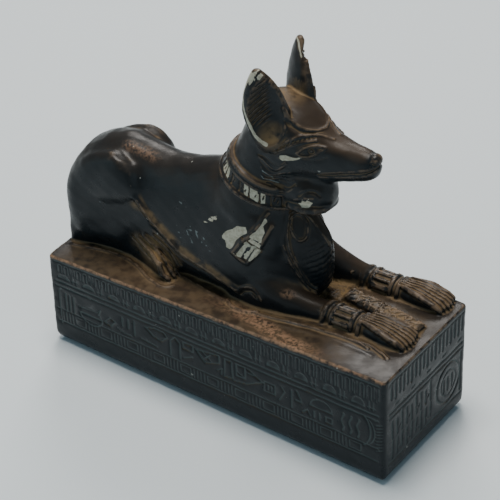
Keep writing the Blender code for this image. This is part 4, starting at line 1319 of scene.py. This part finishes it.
def lay_strokes(spots, inside, strokes, shift, worn, proud):
    """Lay strokes on the places that are inside, and note how near each is to a proud height."""
    index = np.nonzero(inside)[0]
    places = spots[index][:, :2]
    push = np.zeros(len(index))
    for run, width, height in strokes:
        press(places, push, run, width, height)
    shift[index] = push
    worn[index] = np.clip(push / proud, 0, 1)


def plaque_signs(spots, normals, shift, worn):
    """Small raised strokes on the card between the forelegs, and grit behind it."""
    x, y, h = spots.T
    up = normals[:, 2]
    card = (x > 33.6) & (x < 64.6) & (np.abs(y - card_middle(x)) < 3.9) & (h < 4.0) & (up > 0.5)
    lay_strokes(spots, card, card_strokes(), shift, worn, CARD_PROUD)
    rough = (x > 19) & (x < 34.5) & (y > -2) & (y < 16) & (h < 6) & (up > 0.3)
    lay_strokes(spots, rough, grit_strokes(), shift, worn, GRIT_PROUD)


def chest_strokes(spots, normals, shift):
    """Feather-like rows of short strokes down the chest, below the ovals."""
    x, y, h = spots.T
    aside = np.abs(y - CHEST_MIDDLE)
    inside = (x > 21) & (h > 6) & (h < CHEST_TOP) & (normals[:, 0] > 0.25) & (aside < CHEST_HALF)
    rows = np.cos(2 * pi * (h + CHEST_LEAN * aside) / CHEST_ROW_PITCH)
    bars = np.cos(2 * pi * aside / CHEST_BAR_PITCH)
    push = CHEST_ROW_CUT * np.clip(rows, 0, 1) + CHEST_BAR_CUT * np.clip(bars, 0, 1)
    fade = np.clip((CHEST_HALF - aside) / 2, 0, 1) * np.clip((CHEST_TOP - h) / 3, 0, 1)
    free = inside & (np.abs(shift) < CHEST_FREE)
    shift[free] = (push * fade)[free]


def toe_grooves(thing, spots, shift):
    """Deep grooves between the toes, from the instep to the tips."""
    for sizes in (TOES_FRONT, TOES_HIND):
        x_start, x_end, y_middle, foot_width, h_start, h_end = sizes[:6]
        count = sizes[-1]
        for side in (1, -1):
            middle = midline(x_start) + side * y_middle
            for k in range(1, count):
                share = (k - 0.5) / (count - 1) - 0.5
                low, high = middle + share * foot_width * TOE_FAN, middle + share * foot_width
                run = [(x_start - TOE_LEAD, low, h_start + 1),
                       ((x_start + x_end) / 2, (low + high) / 2, h_end + 3),
                       (x_end - TOE_LEAD, high, h_end + 1), (x_end, high, h_end - 1)]
                press(spots, shift, follow(thing, run), *TOE_GROOVE)


def cuff_flutes(thing, spots, shift, worn):
    """Fine bars along each cuff, between its two pairs of rings."""
    start, end = CUFF_BAND
    for side in (1, -1):
        middle = midline(start) + side * CUFF_MIDDLE[0]
        for k in range(CUFF_BARS):
            turn = pi * (k + 0.5) / CUFF_BARS
            y, h = middle + CUFF_REACH * cos(turn), CUFF_MIDDLE[1] + CUFF_REACH * sin(turn)
            run = [nearest(thing, x, y, h) for x in np.linspace(start, end, 7)]
            press(spots, shift, run, *CUFF_BAR)
            press(spots, worn, run, *CUFF_WORN)


def unevenness(spots):
    """A slow, slight wander of the hand-finished surface, in millimetres, that dies out at the foot."""
    x, y, h = spots.T
    waves = np.sin(0.61 * x + 0.9 * np.sin(0.47 * y + 0.3 * h))
    waves += np.sin(0.53 * y - 0.37 * h + 1.1 * np.sin(0.29 * x))
    waves += 0.6 * np.sin(1.31 * h + 0.8 * x) + 0.5 * np.sin(1.57 * y + 0.9 * h - 0.6 * x)
    return WANDER * waves * np.clip((h + plinth_height(x) - 2) / 4, 0, 1)


def put_inside(thing, places):
    """Move the vertices to places in metres, kept within the solid's box."""
    places = np.clip(places.reshape(-1, 3), np.array(CAD_BOX[0]), np.array(CAD_BOX[1]))
    thing.data.vertices.foreach_set("co", places.ravel())
    thing.data.update()


def sculpt(thing):
    """Move the skin along its normals by all the carving."""
    spots, normals, _ = read_mesh(thing)
    shift = np.zeros(len(spots))
    worn = np.zeros(len(spots))
    carve_lines(thing, spots, shift, FLANK_LINES, (1, -1))
    carve_lines(thing, spots, shift, SASH_LINES, (-1,))
    carve_runs(thing, spots, shift, HEAD_RUNS, HEAD_LEVEL)
    carve_runs(thing, spots, shift, BODY_RUNS)
    carve_runs(thing, spots, shift, CHEST_RUNS, CHEST_MIDDLE)
    eyes(thing, spots, shift)
    cheek_fur(thing, spots, shift)
    carve_sides(spots, normals, shift)
    ground_runs(spots, shift)
    collar_panels(spots, shift)
    ear_strokes(spots, normals, shift)
    far_ear_chip(spots, shift)
    plaque_signs(spots, normals, shift, worn)
    toe_grooves(thing, spots, shift)
    cuff_flutes(thing, spots, shift, worn)
    chest_strokes(spots, normals, shift)
    moved = spots + normals * (shift + unevenness(spots))[:, None]
    moved[:, 2] += plinth_height(spots[:, 0])
    put_inside(thing, moved * GRID)
    write(thing, "hollow", hollowness(*read_mesh(thing)))
    write(thing, "worn", worn)


def thin_out(thing):
    """Bring the skin under the most triangles that a piece may have."""
    count = sum(len(face.vertices) - 2 for face in thing.data.polygons)
    if count > MOST_TRIANGLES:
        decimate = thing.modifiers.new("facets", "DECIMATE")
        decimate.ratio = MOST_TRIANGLES / count
        decimate.use_collapse_triangulate = True
        freeze(thing)
    places = np.empty(len(thing.data.vertices) * 3)
    thing.data.vertices.foreach_get("co", places)
    put_inside(thing, places)


# Paint, as linear red, green, blue and alpha
CREAM = (0.50, 0.47, 0.37, 1)
CREAM_SHADE = (0.36, 0.33, 0.25, 1)
BLACK = (0.0062, 0.0105, 0.0135, 1)
# Brown on what faces up: partly a dust and bronze tint, partly painted light on the tops.
BROWN_AND_TOP_LIGHT = (0.052, 0.034, 0.021, 1)
DUST = (0.30, 0.195, 0.092, 1)
GROOVE_GREY = (0.070, 0.090, 0.088, 1)
EDGE_TAN = (0.19, 0.130, 0.082, 1)
# Copper tint where the paint is worn, also used for painted sheen and highlights.
COPPER_AND_HIGHLIGHT = (0.34, 0.195, 0.115, 1)
SCRATCH_GREY = (0.22, 0.27, 0.27, 1)
SPECK = (0.42, 0.42, 0.38, 1)

# Where the resin shows, and where small highlights are painted in its cream. Patches and marks lie on the
# right side, as points x and h; a mark keeps its paint and has a half width. Runs of wear and of painted
# highlight are points x, y and h with a half width.
BARE_PATCHES = (
    ((-2.7, 24.3), (-1.1, 26.9), (2.0, 29.0), (3.7, 30.9), (7.5, 31.3), (7.7, 29.3), (5.0, 27.0), (3.4, 25.3),
     (2.4, 22.3), (1.5, 20.7), (-0.5, 21.3), (-0.9, 23.8)),
    ((-11.0, 27.2), (-8.9, 28.5), (-7.4, 30.3), (-4.7, 31.4), (-4.9, 29.9), (-6.9, 28.3), (-9.3, 27.2)),
    ((13.2, 35.5), (13.8, 34.0), (12.8, 32.8), (13.6, 30.4), (13.0, 28.8), (13.1, 26.5), (11.9, 21.9),
     (8.8, 18.3), (2.8, 20.0), (5.3, 24.0), (8.9, 27.1), (9.2, 29.0), (11.0, 30.8), (12.2, 32.9)),
    ((22.5, 41.9), (24.2, 42.6), (25.1, 45.0), (25.6, 43.4), (27.4, 45.8), (27.2, 43.8), (28.2, 43.6),
     (26.9, 41.2), (24.6, 40.9)),
    ((18.3, 60.8), (20.3, 61.6), (23.2, 61.0), (25.6, 61.2), (23.6, 60.0), (21.0, 59.4), (18.9, 58.9)),
    ((9.6, 89.0), (10.9, 91.0), (12.5, 91.9), (13.9, 90.2), (13.2, 88.6), (11.6, 88.6), (10.4, 86.6)),
)
DARK_MARKS = (
    (((3.6, 20.3), (5.3, 23.3), (6.8, 25.1)), 0.42),
    (((5.9, 19.0), (7.0, 21.6), (8.8, 23.9)), 0.42),
    (((7.8, 18.6), (9.0, 21.2), (10.3, 23.4)), 0.34),
    (((7.5, 25.9), (9.3, 24.8), (12.1, 24.6)), 0.30),
    (((9.2, 27.6), (11.0, 26.9), (12.8, 26.5)), 0.24),
    (((12.9, 91.2), (12.0, 89.9), (12.5, 89.2)), 0.30),
    (((-9.6, 28.6), (-7.8, 28.4)), 0.22),
    (((-7.6, 30.0), (-6.0, 29.4)), 0.22),
)
WORN_AND_HIGHLIGHT_RUNS = (
    (((12.2, -9.8, 91.8), (10.1, -11.2, 90.0), (8.6, -11.8, 86.0), (7.7, -12.2, 82.1), (8.5, -13.0, 78.4),
      (10.1, -13.1, 73.7), (12.2, -11.9, 68.1), (15.1, -10.6, 65.3)), 0.55),
    # Painted highlights: three small bright dots on the hip and knee, in the resin's cream.
    (((-56.4, -14.5, 26.1), (-56.2, -14.5, 25.7)), 0.35),
    (((-53.9, -14.5, 27.8), (-53.8, -14.5, 27.5)), 0.28),
    (((-40.4, -12.7, 31.9), (-40.1, -12.7, 31.4)), 0.30),
    (((48.0, 0.4, 65.4), (48.6, 0.6, 65.2)), 0.20),
    (((10.7, 13.4, 91.6), (12.0, 12.3, 91.0), (13.0, 11.4, 89.5), (13.9, 10.6, 88.2), (14.7, 10.2, 86.9)),
     0.22),
)
COLLAR_BARE = ((-143, -123), (-90, -57))
COLLAR_RADIUS = 14
COLLAR_BAR_PAINT = 0.08
COLLAR_MARK_PAINT = 0.45
PAINTED = -3.0

# Scratches on the right side, as points x and h
SCRATCHES = (
    ((-22.1, 21.9), (-20.7, 19.2), (-19.9, 17.6)),
    ((-17.7, 21.9), (-15.9, 19.1), (-14.1, 16.1)),
    ((-15.9, 23.2), (-15.2, 20.8), (-14.6, 19.6)),
    ((-13.8, 24.1), (-13.3, 21.6), (-12.4, 19.6)),
    ((-12.6, 23.6), (-12.2, 21.8)),
    ((-10.2, 23.2), (-9.7, 20.6), (-8.0, 16.5)),
    ((-10.9, 21.6), (-10.6, 19.4)),
    ((-21.7, 30.4), (-19.4, 30.1), (-17.6, 29.7)),
    ((-7.6, 16.3), (-6.9, 17.5)),
    ((12.0, 53.0), (13.2, 52.4), (14.9, 50.5)),
    ((14.0, 49.7), (16.1, 48.4)),
    ((10.8, 51.6), (12.2, 50.2), (14.4, 49.9)),
    ((-56.0, 20.5), (-53.6, 21.5)),
)
SCRATCH_HALF = 0.45

# Where dust lies, and where the copper tint, painted sheen and painted highlights lie, as runs of x, y and h,
# or as a centre with its radii and how many of them it reaches. A share is how strongly a place counts.
CREST = ((-39.6, -12.0, 23.9), (-34.7, -12.8, 22.8), (-30.9, -12.4, 20.2), (-26.6, -12.6, 17.6),
         (-22.3, -12.9, 14.8), (-14.4, -13.9, 11.1), (-7.0, -14.1, 9.8), (-1.0, -13.9, 6.7))
# Painted sheen: a lamp's reflection on the plinth's top near its right edge, with some bronze tint.
SHEEN = ((-6.0, -16.6, 0.0), (7.4, -17.6, 0.0), (14.3, -18.8, 0.0), (22.0, -20.6, 0.0), (29.7, -22.6, 0.0),
         (45.9, -23.8, 0.0))
# Painted highlights: a bright streak along the loins, and a glint on the right elbow.
LOIN = ((-46.8, -4.4, 41.9), (-43.7, -4.1, 41.5), (-40.6, -3.7, 41.1), (-37.0, -4.0, 40.4))
ELBOW = ((21.3, -9.1, 7.3), (3, 2, 1.4), 1.3)
FOOT_DUST = ((-32, 0, 7.5), (9, np.inf, 5.5), 1.4)
SKULL_DUST = ((14, 3, 0), (6, 6, np.inf), 1.2)
EAR_DUST = (15.5, 9.5, 67.0)
EAR_DUST_REACH = (4.5, 1.4)
SHARES = {"ground": 0.22, "foot": 0.75, "crest": 0.5, "skull": 0.75, "ears": 0.62,
          "rim": 0.8, "loin": 0.5, "elbow": 0.9}
HOLLOW_ROUNDS = 14


def fall(gap, core):
    """1 where the gap is small, falling to 0 where it reaches the core."""
    return np.clip(core - gap, 0, 1)


def blob(spots, centre, radii, core):
    """1 near a centre, falling to 0 about its radii away."""
    return fall(np.linalg.norm((spots - centre) / radii, axis=1), core)


def run_gap(spots, run, steps=3):
    """Distance of each spot from a smooth run."""
    return line_gap(spots, [np.array(point) for point in curved(run, steps)])


def mark_gap(places, mark):
    """Distance of each place from a mark of straight strokes."""
    return line_gap(places, [np.array(point) for point in mark])


def settle(values, edges, count, rounds):
    """Spread a value over the skin."""
    first, second = edges[:, 0], edges[:, 1]
    degree = np.bincount(first, minlength=count) + np.bincount(second, minlength=count)
    for _ in range(rounds):
        total = np.bincount(first, values[second], count) + np.bincount(second, values[first], count)
        values = 0.5 * values + 0.5 * total / degree
    return values


def hollowness(spots, normals, edges):
    """How hollow the skin is at each vertex, in millimetres: over 0 in grooves, under 0 on edges."""
    count = len(spots)
    smooth = np.stack([settle(spots[:, k], edges, count, HOLLOW_ROUNDS) for k in range(3)], axis=1)
    return np.sum((smooth - spots) * normals, axis=1)


def inside_outline(x, h, outline):
    """Signed distance in millimetres to an outline, over 0 inside it."""
    corners = np.array(list(outline) + [outline[0]], float)
    gap = line_gap(np.stack([x, h], axis=1), list(corners))
    crossings = np.zeros(len(x), bool)
    for (x0, h0), (x1, h1) in zip(corners, corners[1:]):
        spans = (h0 > h) != (h1 > h)
        meet = (x1 - x0) * (h - h0) / (h1 - h0 if h1 != h0 else 1) + x0
        crossings ^= spans & (x < meet)
    return np.where(crossings, gap, -gap)


def bare_and_highlight_places(spots, right):
    """Signed distance in millimetres to where the paint is off and where small highlights are painted in
    cream, over 0 inside it.
    """
    x, h = spots[:, 0], spots[:, 2]
    places = np.stack([x, h], axis=1)
    bare_and_highlight = np.full(len(spots), PAINTED)
    for outline in BARE_PATCHES:
        bare_and_highlight = np.maximum(bare_and_highlight, np.where(right, inside_outline(x, h, outline), PAINTED))
    for mark, half in DARK_MARKS:
        bare_and_highlight = np.minimum(bare_and_highlight, mark_gap(places, mark) - half)
    for run, half in WORN_AND_HIGHLIGHT_RUNS:
        bare_and_highlight = np.maximum(bare_and_highlight, half - run_gap(spots, run, 4))
    return np.clip(np.maximum(bare_and_highlight, collar_bare(spots)), PAINTED, -PAINTED)


def collar_bare(spots):
    """The panels of the collar where the resin shows between the strokes."""
    turn, rise, near = collar_places(spots)
    low, high = COLLAR_BAND
    up = np.minimum(rise - low, high - rise)
    value = np.full(len(spots), PAINTED)
    for start, end in COLLAR_BARE:
        along = np.minimum(turn - start, end - turn) * radians(1) * COLLAR_RADIUS
        value = np.maximum(value, np.minimum(along, up))
    part = turn / 360 * COLLAR_PANELS % 1
    bar = np.abs(np.abs(part - 0.5) - 0.5) < COLLAR_BAR_PAINT
    dark = bar | (collar_marks(turn, rise) > COLLAR_MARK_PAINT)
    return np.where(near & ~dark, value, PAINTED)


def scratch_places(spots, right):
    """Scratches on the right side, from 0 to 1 on their middle lines."""
    places = spots[:, [0, 2]]
    gap = np.min([mark_gap(places, mark) for mark in SCRATCHES], axis=0)
    return np.where(right, fall(gap / SCRATCH_HALF, 1), 0)


def inked_places(spots):
    """Where the paint has kept its black and the brown tint and painted top light are held back: cuffs, nose,
    collar, back and the plinth's ends.
    """
    x, h = spots[:, 0], spots[:, 2]
    rise, near = collar_places(spots)[1:]
    cuffs = ramp(x, 34, 36) * ramp(x, 50, 47) * (h > 0.8) * (h < 12)
    nose = ramp(x, 45.5, 47) * (h > 50)
    collar = 0.8 * (near & (rise > 41) & (rise < 50))
    back = 0.7 * ramp(x, -2, -14) * (h > 14)
    rear = 0.7 * ramp(x, -44, -54) * (h < 2)
    front = 0.6 * ramp(x, 46, 54) * (h < 2)
    return np.max([cuffs, nose, collar, back, rear, front], axis=0)


def dust_places(spots, normals):
    """Dust from 0 to 1: in the ears, on the card, by the legs and feet, on what faces up."""
    x, y, h = spots.T
    card = np.clip(1.5 - np.abs(y - 8.3 + (x - 34) * 0.12) / 5.5, 0, 1) * ramp(x, 17, 22) * ramp(x, 67, 61)
    card = card * (h > -0.6) * (h < 2.9) * np.where(x < 34.2, 1.0, 0.28)
    ground = np.clip(normals[:, 2], 0, 1) * (h > -0.6) * (h < 1.5) * ramp(x, -68, -62) * ramp(x, 54, 34)
    foot = blob(spots, *FOOT_DUST) * (y < -9) * (y > -19)
    crest = fall(run_gap(spots, CREST) / 1.6, 1.5)
    skull = blob(spots, *SKULL_DUST) * (h > 72) * (h < 80)
    reach, core = EAR_DUST_REACH
    ears = np.zeros(len(spots))
    for side in (1, -1):
        bottom = np.array([EAR_DUST[0], HEAD_LEVEL + side * EAR_DUST[1], EAR_DUST[2]])
        ears = np.maximum(ears, blob(spots, bottom, reach, core))
    parts = {"ground": ground, "foot": foot, "crest": crest, "skull": skull, "ears": ears}
    return np.clip(np.max([card] + [SHARES[name] * part for name, part in parts.items()], axis=0), 0, 1)


def copper_and_highlight_places(spots):
    """Copper tint and painted light: a painted sheen on the plinth's right part, its edge worn to copper, and
    painted highlights on the loins and an elbow.
    """
    x, y, h = spots.T
    sheen = fall(run_gap(spots, SHEEN) / 2.4, 1.6) * (h > -0.8) * (h < 1.2)
    sheen = sheen * np.clip((x + 6) / 18, 0.15, 1) * ramp(x, 46, 34)
    rim = fall(np.abs(y + WIDTH / 2 - 0.3) / 0.6, 1) * (h > -0.8)
    loin = fall(run_gap(spots, LOIN) / 2.4, 1.2)
    parts = {"rim": rim, "loin": loin, "elbow": blob(spots, *ELBOW)}
    return np.clip(np.max([sheen] + [SHARES[name] * part for name, part in parts.items()], axis=0), 0, 1)


def paint_marks(thing):
    """Write where the paint is off, scratched, dusty, worn to copper or kept, where highlights and sheen are
    painted, and the plinth's walls.
    """
    spots, normals, _ = read_mesh(thing)
    right = (normals[:, 1] < -0.05) & (spots[:, 1] < 3)
    wall = (spots[:, 2] < -0.8) & (np.abs(normals[:, 2]) < 0.5)
    write(thing, "bare_and_highlight", bare_and_highlight_places(spots, right))
    write(thing, "scratch", scratch_places(spots, right))
    write(thing, "dust", dust_places(spots, normals))
    write(thing, "copper_and_highlight", copper_and_highlight_places(spots))
    write(thing, "wall", wall.astype(float))
    write(thing, "inked", inked_places(spots))


def write(thing, name, values):
    """Keep a number for each vertex, for the material to read."""
    attribute = thing.data.attributes.new(name, "FLOAT", "POINT")
    attribute.data.foreach_set("value", values.astype(np.float32))


class Nodes:
    """Short ways to add and join shader nodes."""

    def __init__(self, material):
        material.use_nodes = True
        self.tree = material.node_tree
        self.shader = self.tree.nodes["Principled BSDF"]
        self.place = self.tree.nodes.new("ShaderNodeTexCoord").outputs["Object"]

    def put(self, socket, value):
        """Join a socket to another one, or give it a value."""
        if isinstance(value, bpy.types.NodeSocket):
            self.tree.links.new(value, socket)
        else:
            socket.default_value = value

    def math(self, operation, first, second, clamp=False):
        """One operation on two values, which are numbers or sockets."""
        node = self.tree.nodes.new("ShaderNodeMath")
        node.operation = operation
        node.use_clamp = clamp
        self.put(node.inputs[0], first)
        self.put(node.inputs[1], second)
        return node.outputs[0]

    def plus(self, first, second, clamp=False):
        """Two values added."""
        return self.math("ADD", first, second, clamp)

    def less(self, first, second):
        """The first value less the second."""
        return self.math("SUBTRACT", first, second)

    def times(self, first, *others):
        """Values multiplied, from left to right."""
        for other in others:
            first = self.math("MULTIPLY", first, other)
        return first

    def steps(self, value, low, high, start=0.0, end=1.0):
        """A value's smooth way from start, at low, to end, at high."""
        node = self.tree.nodes.new("ShaderNodeMapRange")
        node.interpolation_type = "SMOOTHSTEP"
        for socket, given in zip(node.inputs, (value, low, high, start, end)):
            self.put(socket, given)
        return node.outputs[0]

    def attribute(self, name):
        """A number kept for each vertex."""
        node = self.tree.nodes.new("ShaderNodeAttribute")
        node.attribute_name = name
        return node.outputs["Fac"]

    def facing_up(self):
        """The upward part of the surface's direction."""
        geometry = self.tree.nodes.new("ShaderNodeNewGeometry")
        parts = self.tree.nodes.new("ShaderNodeSeparateXYZ")
        self.put(parts.inputs[0], geometry.outputs["Normal"])
        return parts.outputs["Z"]

    def noise(self, scale, detail=4.0, roughness=0.55):
        """A grain of the given scale per metre."""
        node = self.tree.nodes.new("ShaderNodeTexNoise")
        given = {"Scale": scale, "Detail": detail, "Roughness": roughness, "Vector": self.place}
        for name, value in given.items():
            self.put(node.inputs[name], value)
        return node.outputs["Fac"]

    def mix(self, share, first, second):
        """The first colour, with a share of the second."""
        node = self.tree.nodes.new("ShaderNodeMix")
        node.data_type = "RGBA"
        for name, value in (("Factor", share), ("A", first), ("B", second)):
            self.put(node.inputs[name], value)
        return node.outputs["Result"]


# Scales of the paint's grain, per metre
FINE_GRAIN = 900.0
COARSE_GRAIN = 260.0
EDGE_GRAIN = 420.0
SPECK_GRAIN = 380.0
BROAD_GRAIN = 60.0

# Depths in millimetres from which grooves and edges show, and by how much the grain breaks them up
GROOVE_SHOWS = (0.03, 0.14)
EDGE_SHOWS = (0.045, 0.13)
BROKEN_BY = 0.10
RAGGED_BY = 0.8
SHINE = 0.22
BUMP_STRENGTH = 0.3
BUMP_DEPTH = 0.0003


def painted_resin():
    """Black paint over cream resin: a brown tint and painted top light on what faces up, dusty in hollows,
    worn through in places, with painted sheen and highlights.
    """
    material = bpy.data.materials.new("painted_resin")
    n = Nodes(material)
    up = n.facing_up()
    fine = n.noise(FINE_GRAIN)
    coarse = n.noise(COARSE_GRAIN)
    hollow, wall = n.attribute("hollow"), n.attribute("wall")
    stray = n.less(coarse, 0.5)
    broken = n.times(stray, BROKEN_BY)
    free = n.less(1.0, wall)

    # Brown on what faces up: partly a dust and bronze tint, partly painted top light.
    top_tint_and_light = n.times(n.steps(up, 0.0, 0.85), n.steps(n.noise(BROAD_GRAIN, 3.0), 0.25, 0.75, 0.55, 1.0))
    brown_and_top_light_share = n.times(top_tint_and_light, n.less(1.0, n.times(n.attribute("inked"), 0.85)))
    colour = n.mix(brown_and_top_light_share, BLACK, BROWN_AND_TOP_LIGHT)
    groove = n.steps(n.plus(hollow, broken), *GROOVE_SHOWS)
    colour = n.mix(n.times(groove, wall, 0.75), colour, GROOVE_GREY)
    colour = n.mix(n.times(groove, free, n.steps(up, -0.2, 0.6, 0.05, 0.40)), colour, DUST)
    edge = n.times(n.steps(n.less(broken, hollow), *EDGE_SHOWS), free, n.steps(up, -0.3, 0.5, 0.30, 0.60))
    edge = n.times(edge, n.steps(n.noise(EDGE_GRAIN, 3.0), 0.36, 0.58))
    colour = n.mix(edge, colour, EDGE_TAN)
    rubbed = n.times(n.steps(n.attribute("worn"), 0.3, 0.8), n.steps(coarse, 0.36, 0.56, 0.25, 0.95))
    colour = n.mix(rubbed, colour, EDGE_TAN)
    settled = n.times(n.attribute("dust"), n.steps(coarse, 0.30, 0.60))
    lying = n.math("MULTIPLY", settled, n.steps(hollow, -0.20, 0.08, 0.30, 1.0), True)
    colour = n.mix(n.times(lying, 0.85), colour, DUST)
    # Copper tint, with a painted sheen on the plinth's top and painted highlights on the loins and an elbow.
    copper_and_highlight_share = n.times(n.attribute("copper_and_highlight"), n.steps(fine, 0.36, 0.62))
    colour = n.mix(n.times(copper_and_highlight_share, 0.8), colour, COPPER_AND_HIGHLIGHT)
    scratch = n.steps(n.plus(n.attribute("scratch"), stray), 0.45, 0.75, 0.0, 0.6)
    colour = n.mix(scratch, colour, SCRATCH_GREY)
    # Cream where the resin shows through, also used for small painted highlights on the hip and knee.
    bare_and_highlight_share = n.steps(n.plus(n.attribute("bare_and_highlight"), n.times(stray, RAGGED_BY)), -0.05, 0.06)
    colour = n.mix(bare_and_highlight_share, colour, n.mix(n.steps(fine, 0.35, 0.65), CREAM, CREAM_SHADE))
    specks = n.steps(n.noise(SPECK_GRAIN, 2.0, 0.4), 0.775, 0.80)
    n.put(n.shader.inputs["Base Color"], n.mix(n.times(specks, 0.6), colour, SPECK))

    roughness = n.plus(n.steps(coarse, 0.3, 0.7, 0.26, 0.38), n.times(lying, 0.35))
    roughness = n.plus(roughness, n.times(brown_and_top_light_share, 0.12))
    roughness = n.plus(roughness, n.times(bare_and_highlight_share, 0.25))
    n.put(n.shader.inputs["Roughness"], n.plus(roughness, n.times(groove, 0.15), True))
    n.shader.inputs["Specular IOR Level"].default_value = SHINE
    bump = n.tree.nodes.new("ShaderNodeBump")
    bump.inputs["Strength"].default_value = BUMP_STRENGTH
    bump.inputs["Distance"].default_value = BUMP_DEPTH
    height = n.plus(n.times(coarse, 0.6), n.times(fine, 0.4))
    n.put(bump.inputs["Height"], n.less(height, n.times(bare_and_highlight_share, 0.5)))
    n.put(n.shader.inputs["Normal"], bump.outputs["Normal"])
    return material


# Camera, fitted to the plinth's corners
CAMERA_AZIMUTH = 36.77
CAMERA_ELEVATION = 36.50
CAMERA_ROLL = -1.863
CAMERA_DISTANCE = 0.7261
CAMERA_TARGET = Vector((-0.0005, 0.0, 0.0522))
CAMERA_LENS = 155.11
CAMERA_SENSOR = 36.0

# Floor and lights. A light is its place, what it aims at, its size, its power and its colour.
FLOOR_SIZE = 3.0
FLOOR_COLOUR = (0.74, 0.80, 0.83, 1)
FLOOR_ROUGHNESS = 0.7
LAMPS = {
    "key": ((-0.10, 0.05, 1.20), (0, 0, 0.06), 0.5, 13.5, (1.0, 0.95, 0.89)),
    "back": ((-0.50, 0.75, 0.75), (0, 0, 0.05), 0.4, 5.0, (1.0, 0.95, 0.90)),
    "fill": ((-0.8, -0.9, 0.45), (0, 0, 0.05), 0.8, 2.0, (0.58, 0.86, 1.0)),
    "side": ((1.1, -0.4, 0.4), (0, 0, 0.05), 0.8, 1.3, (0.60, 0.86, 1.0)),
}
SKY_COLOUR = (0.52, 0.72, 0.84, 1)
SKY_STRENGTH = 0.22


def camera():
    """The camera at the photograph's viewing angle."""
    azimuth, elevation, roll = (radians(v) for v in (CAMERA_AZIMUTH, CAMERA_ELEVATION, CAMERA_ROLL))
    back = Vector((sin(azimuth) * cos(elevation), -cos(azimuth) * cos(elevation), sin(elevation)))
    right = Vector((cos(azimuth), sin(azimuth), 0))
    up = back.cross(right)
    right, up = cos(roll) * right + sin(roll) * up, -sin(roll) * right + cos(roll) * up
    data = bpy.data.cameras.new("camera")
    data.lens = CAMERA_LENS
    data.sensor_width = CAMERA_SENSOR
    thing = bpy.data.objects.new("camera", data)
    place = CAMERA_TARGET + back * CAMERA_DISTANCE
    turn = Matrix((right, up, back)).transposed().to_4x4()
    thing.matrix_world = Matrix.Translation(place) @ turn
    bpy.context.scene.collection.objects.link(thing)
    bpy.context.scene.camera = thing


def floor():
    """A plain pale floor."""
    bm = bmesh.new()
    bmesh.ops.create_grid(bm, x_segments=1, y_segments=1, size=FLOOR_SIZE)
    thing = link("floor", bm)
    material = bpy.data.materials.new("floor")
    material.use_nodes = True
    shader = material.node_tree.nodes["Principled BSDF"]
    shader.inputs["Base Color"].default_value = FLOOR_COLOUR
    shader.inputs["Roughness"].default_value = FLOOR_ROUGHNESS
    thing.data.materials.append(material)


def lamp(name, place, aim, size, power, colour):
    """A soft square light."""
    data = bpy.data.lights.new(name, "AREA")
    data.size = size
    data.energy = power
    data.color = colour
    thing = bpy.data.objects.new(name, data)
    thing.location = place
    thing.rotation_euler = (Vector(aim) - Vector(place)).to_track_quat("-Z", "Y").to_euler()
    bpy.context.scene.collection.objects.link(thing)


def studio():
    """Warm soft light from above and behind, with cool weak light on the sides and all round."""
    for name, settings in LAMPS.items():
        lamp(name, *settings)
    world = bpy.data.worlds.new("studio")
    bpy.context.scene.world = world
    world.use_nodes = True
    background = world.node_tree.nodes["Background"]
    background.inputs["Color"].default_value = SKY_COLOUR
    background.inputs["Strength"].default_value = SKY_STRENGTH


def figurine():
    """The whole casting, as one piece."""
    thing = jackal_clay()
    sculpt(thing)
    thin_out(thing)
    paint_marks(thing)
    thing.data.materials.clear()
    thing.data.materials.append(painted_resin())
    thing.data.shade_smooth()
    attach(thing, "root")
    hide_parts("jackal_figurine")


camera()
floor()
studio()
figurine()
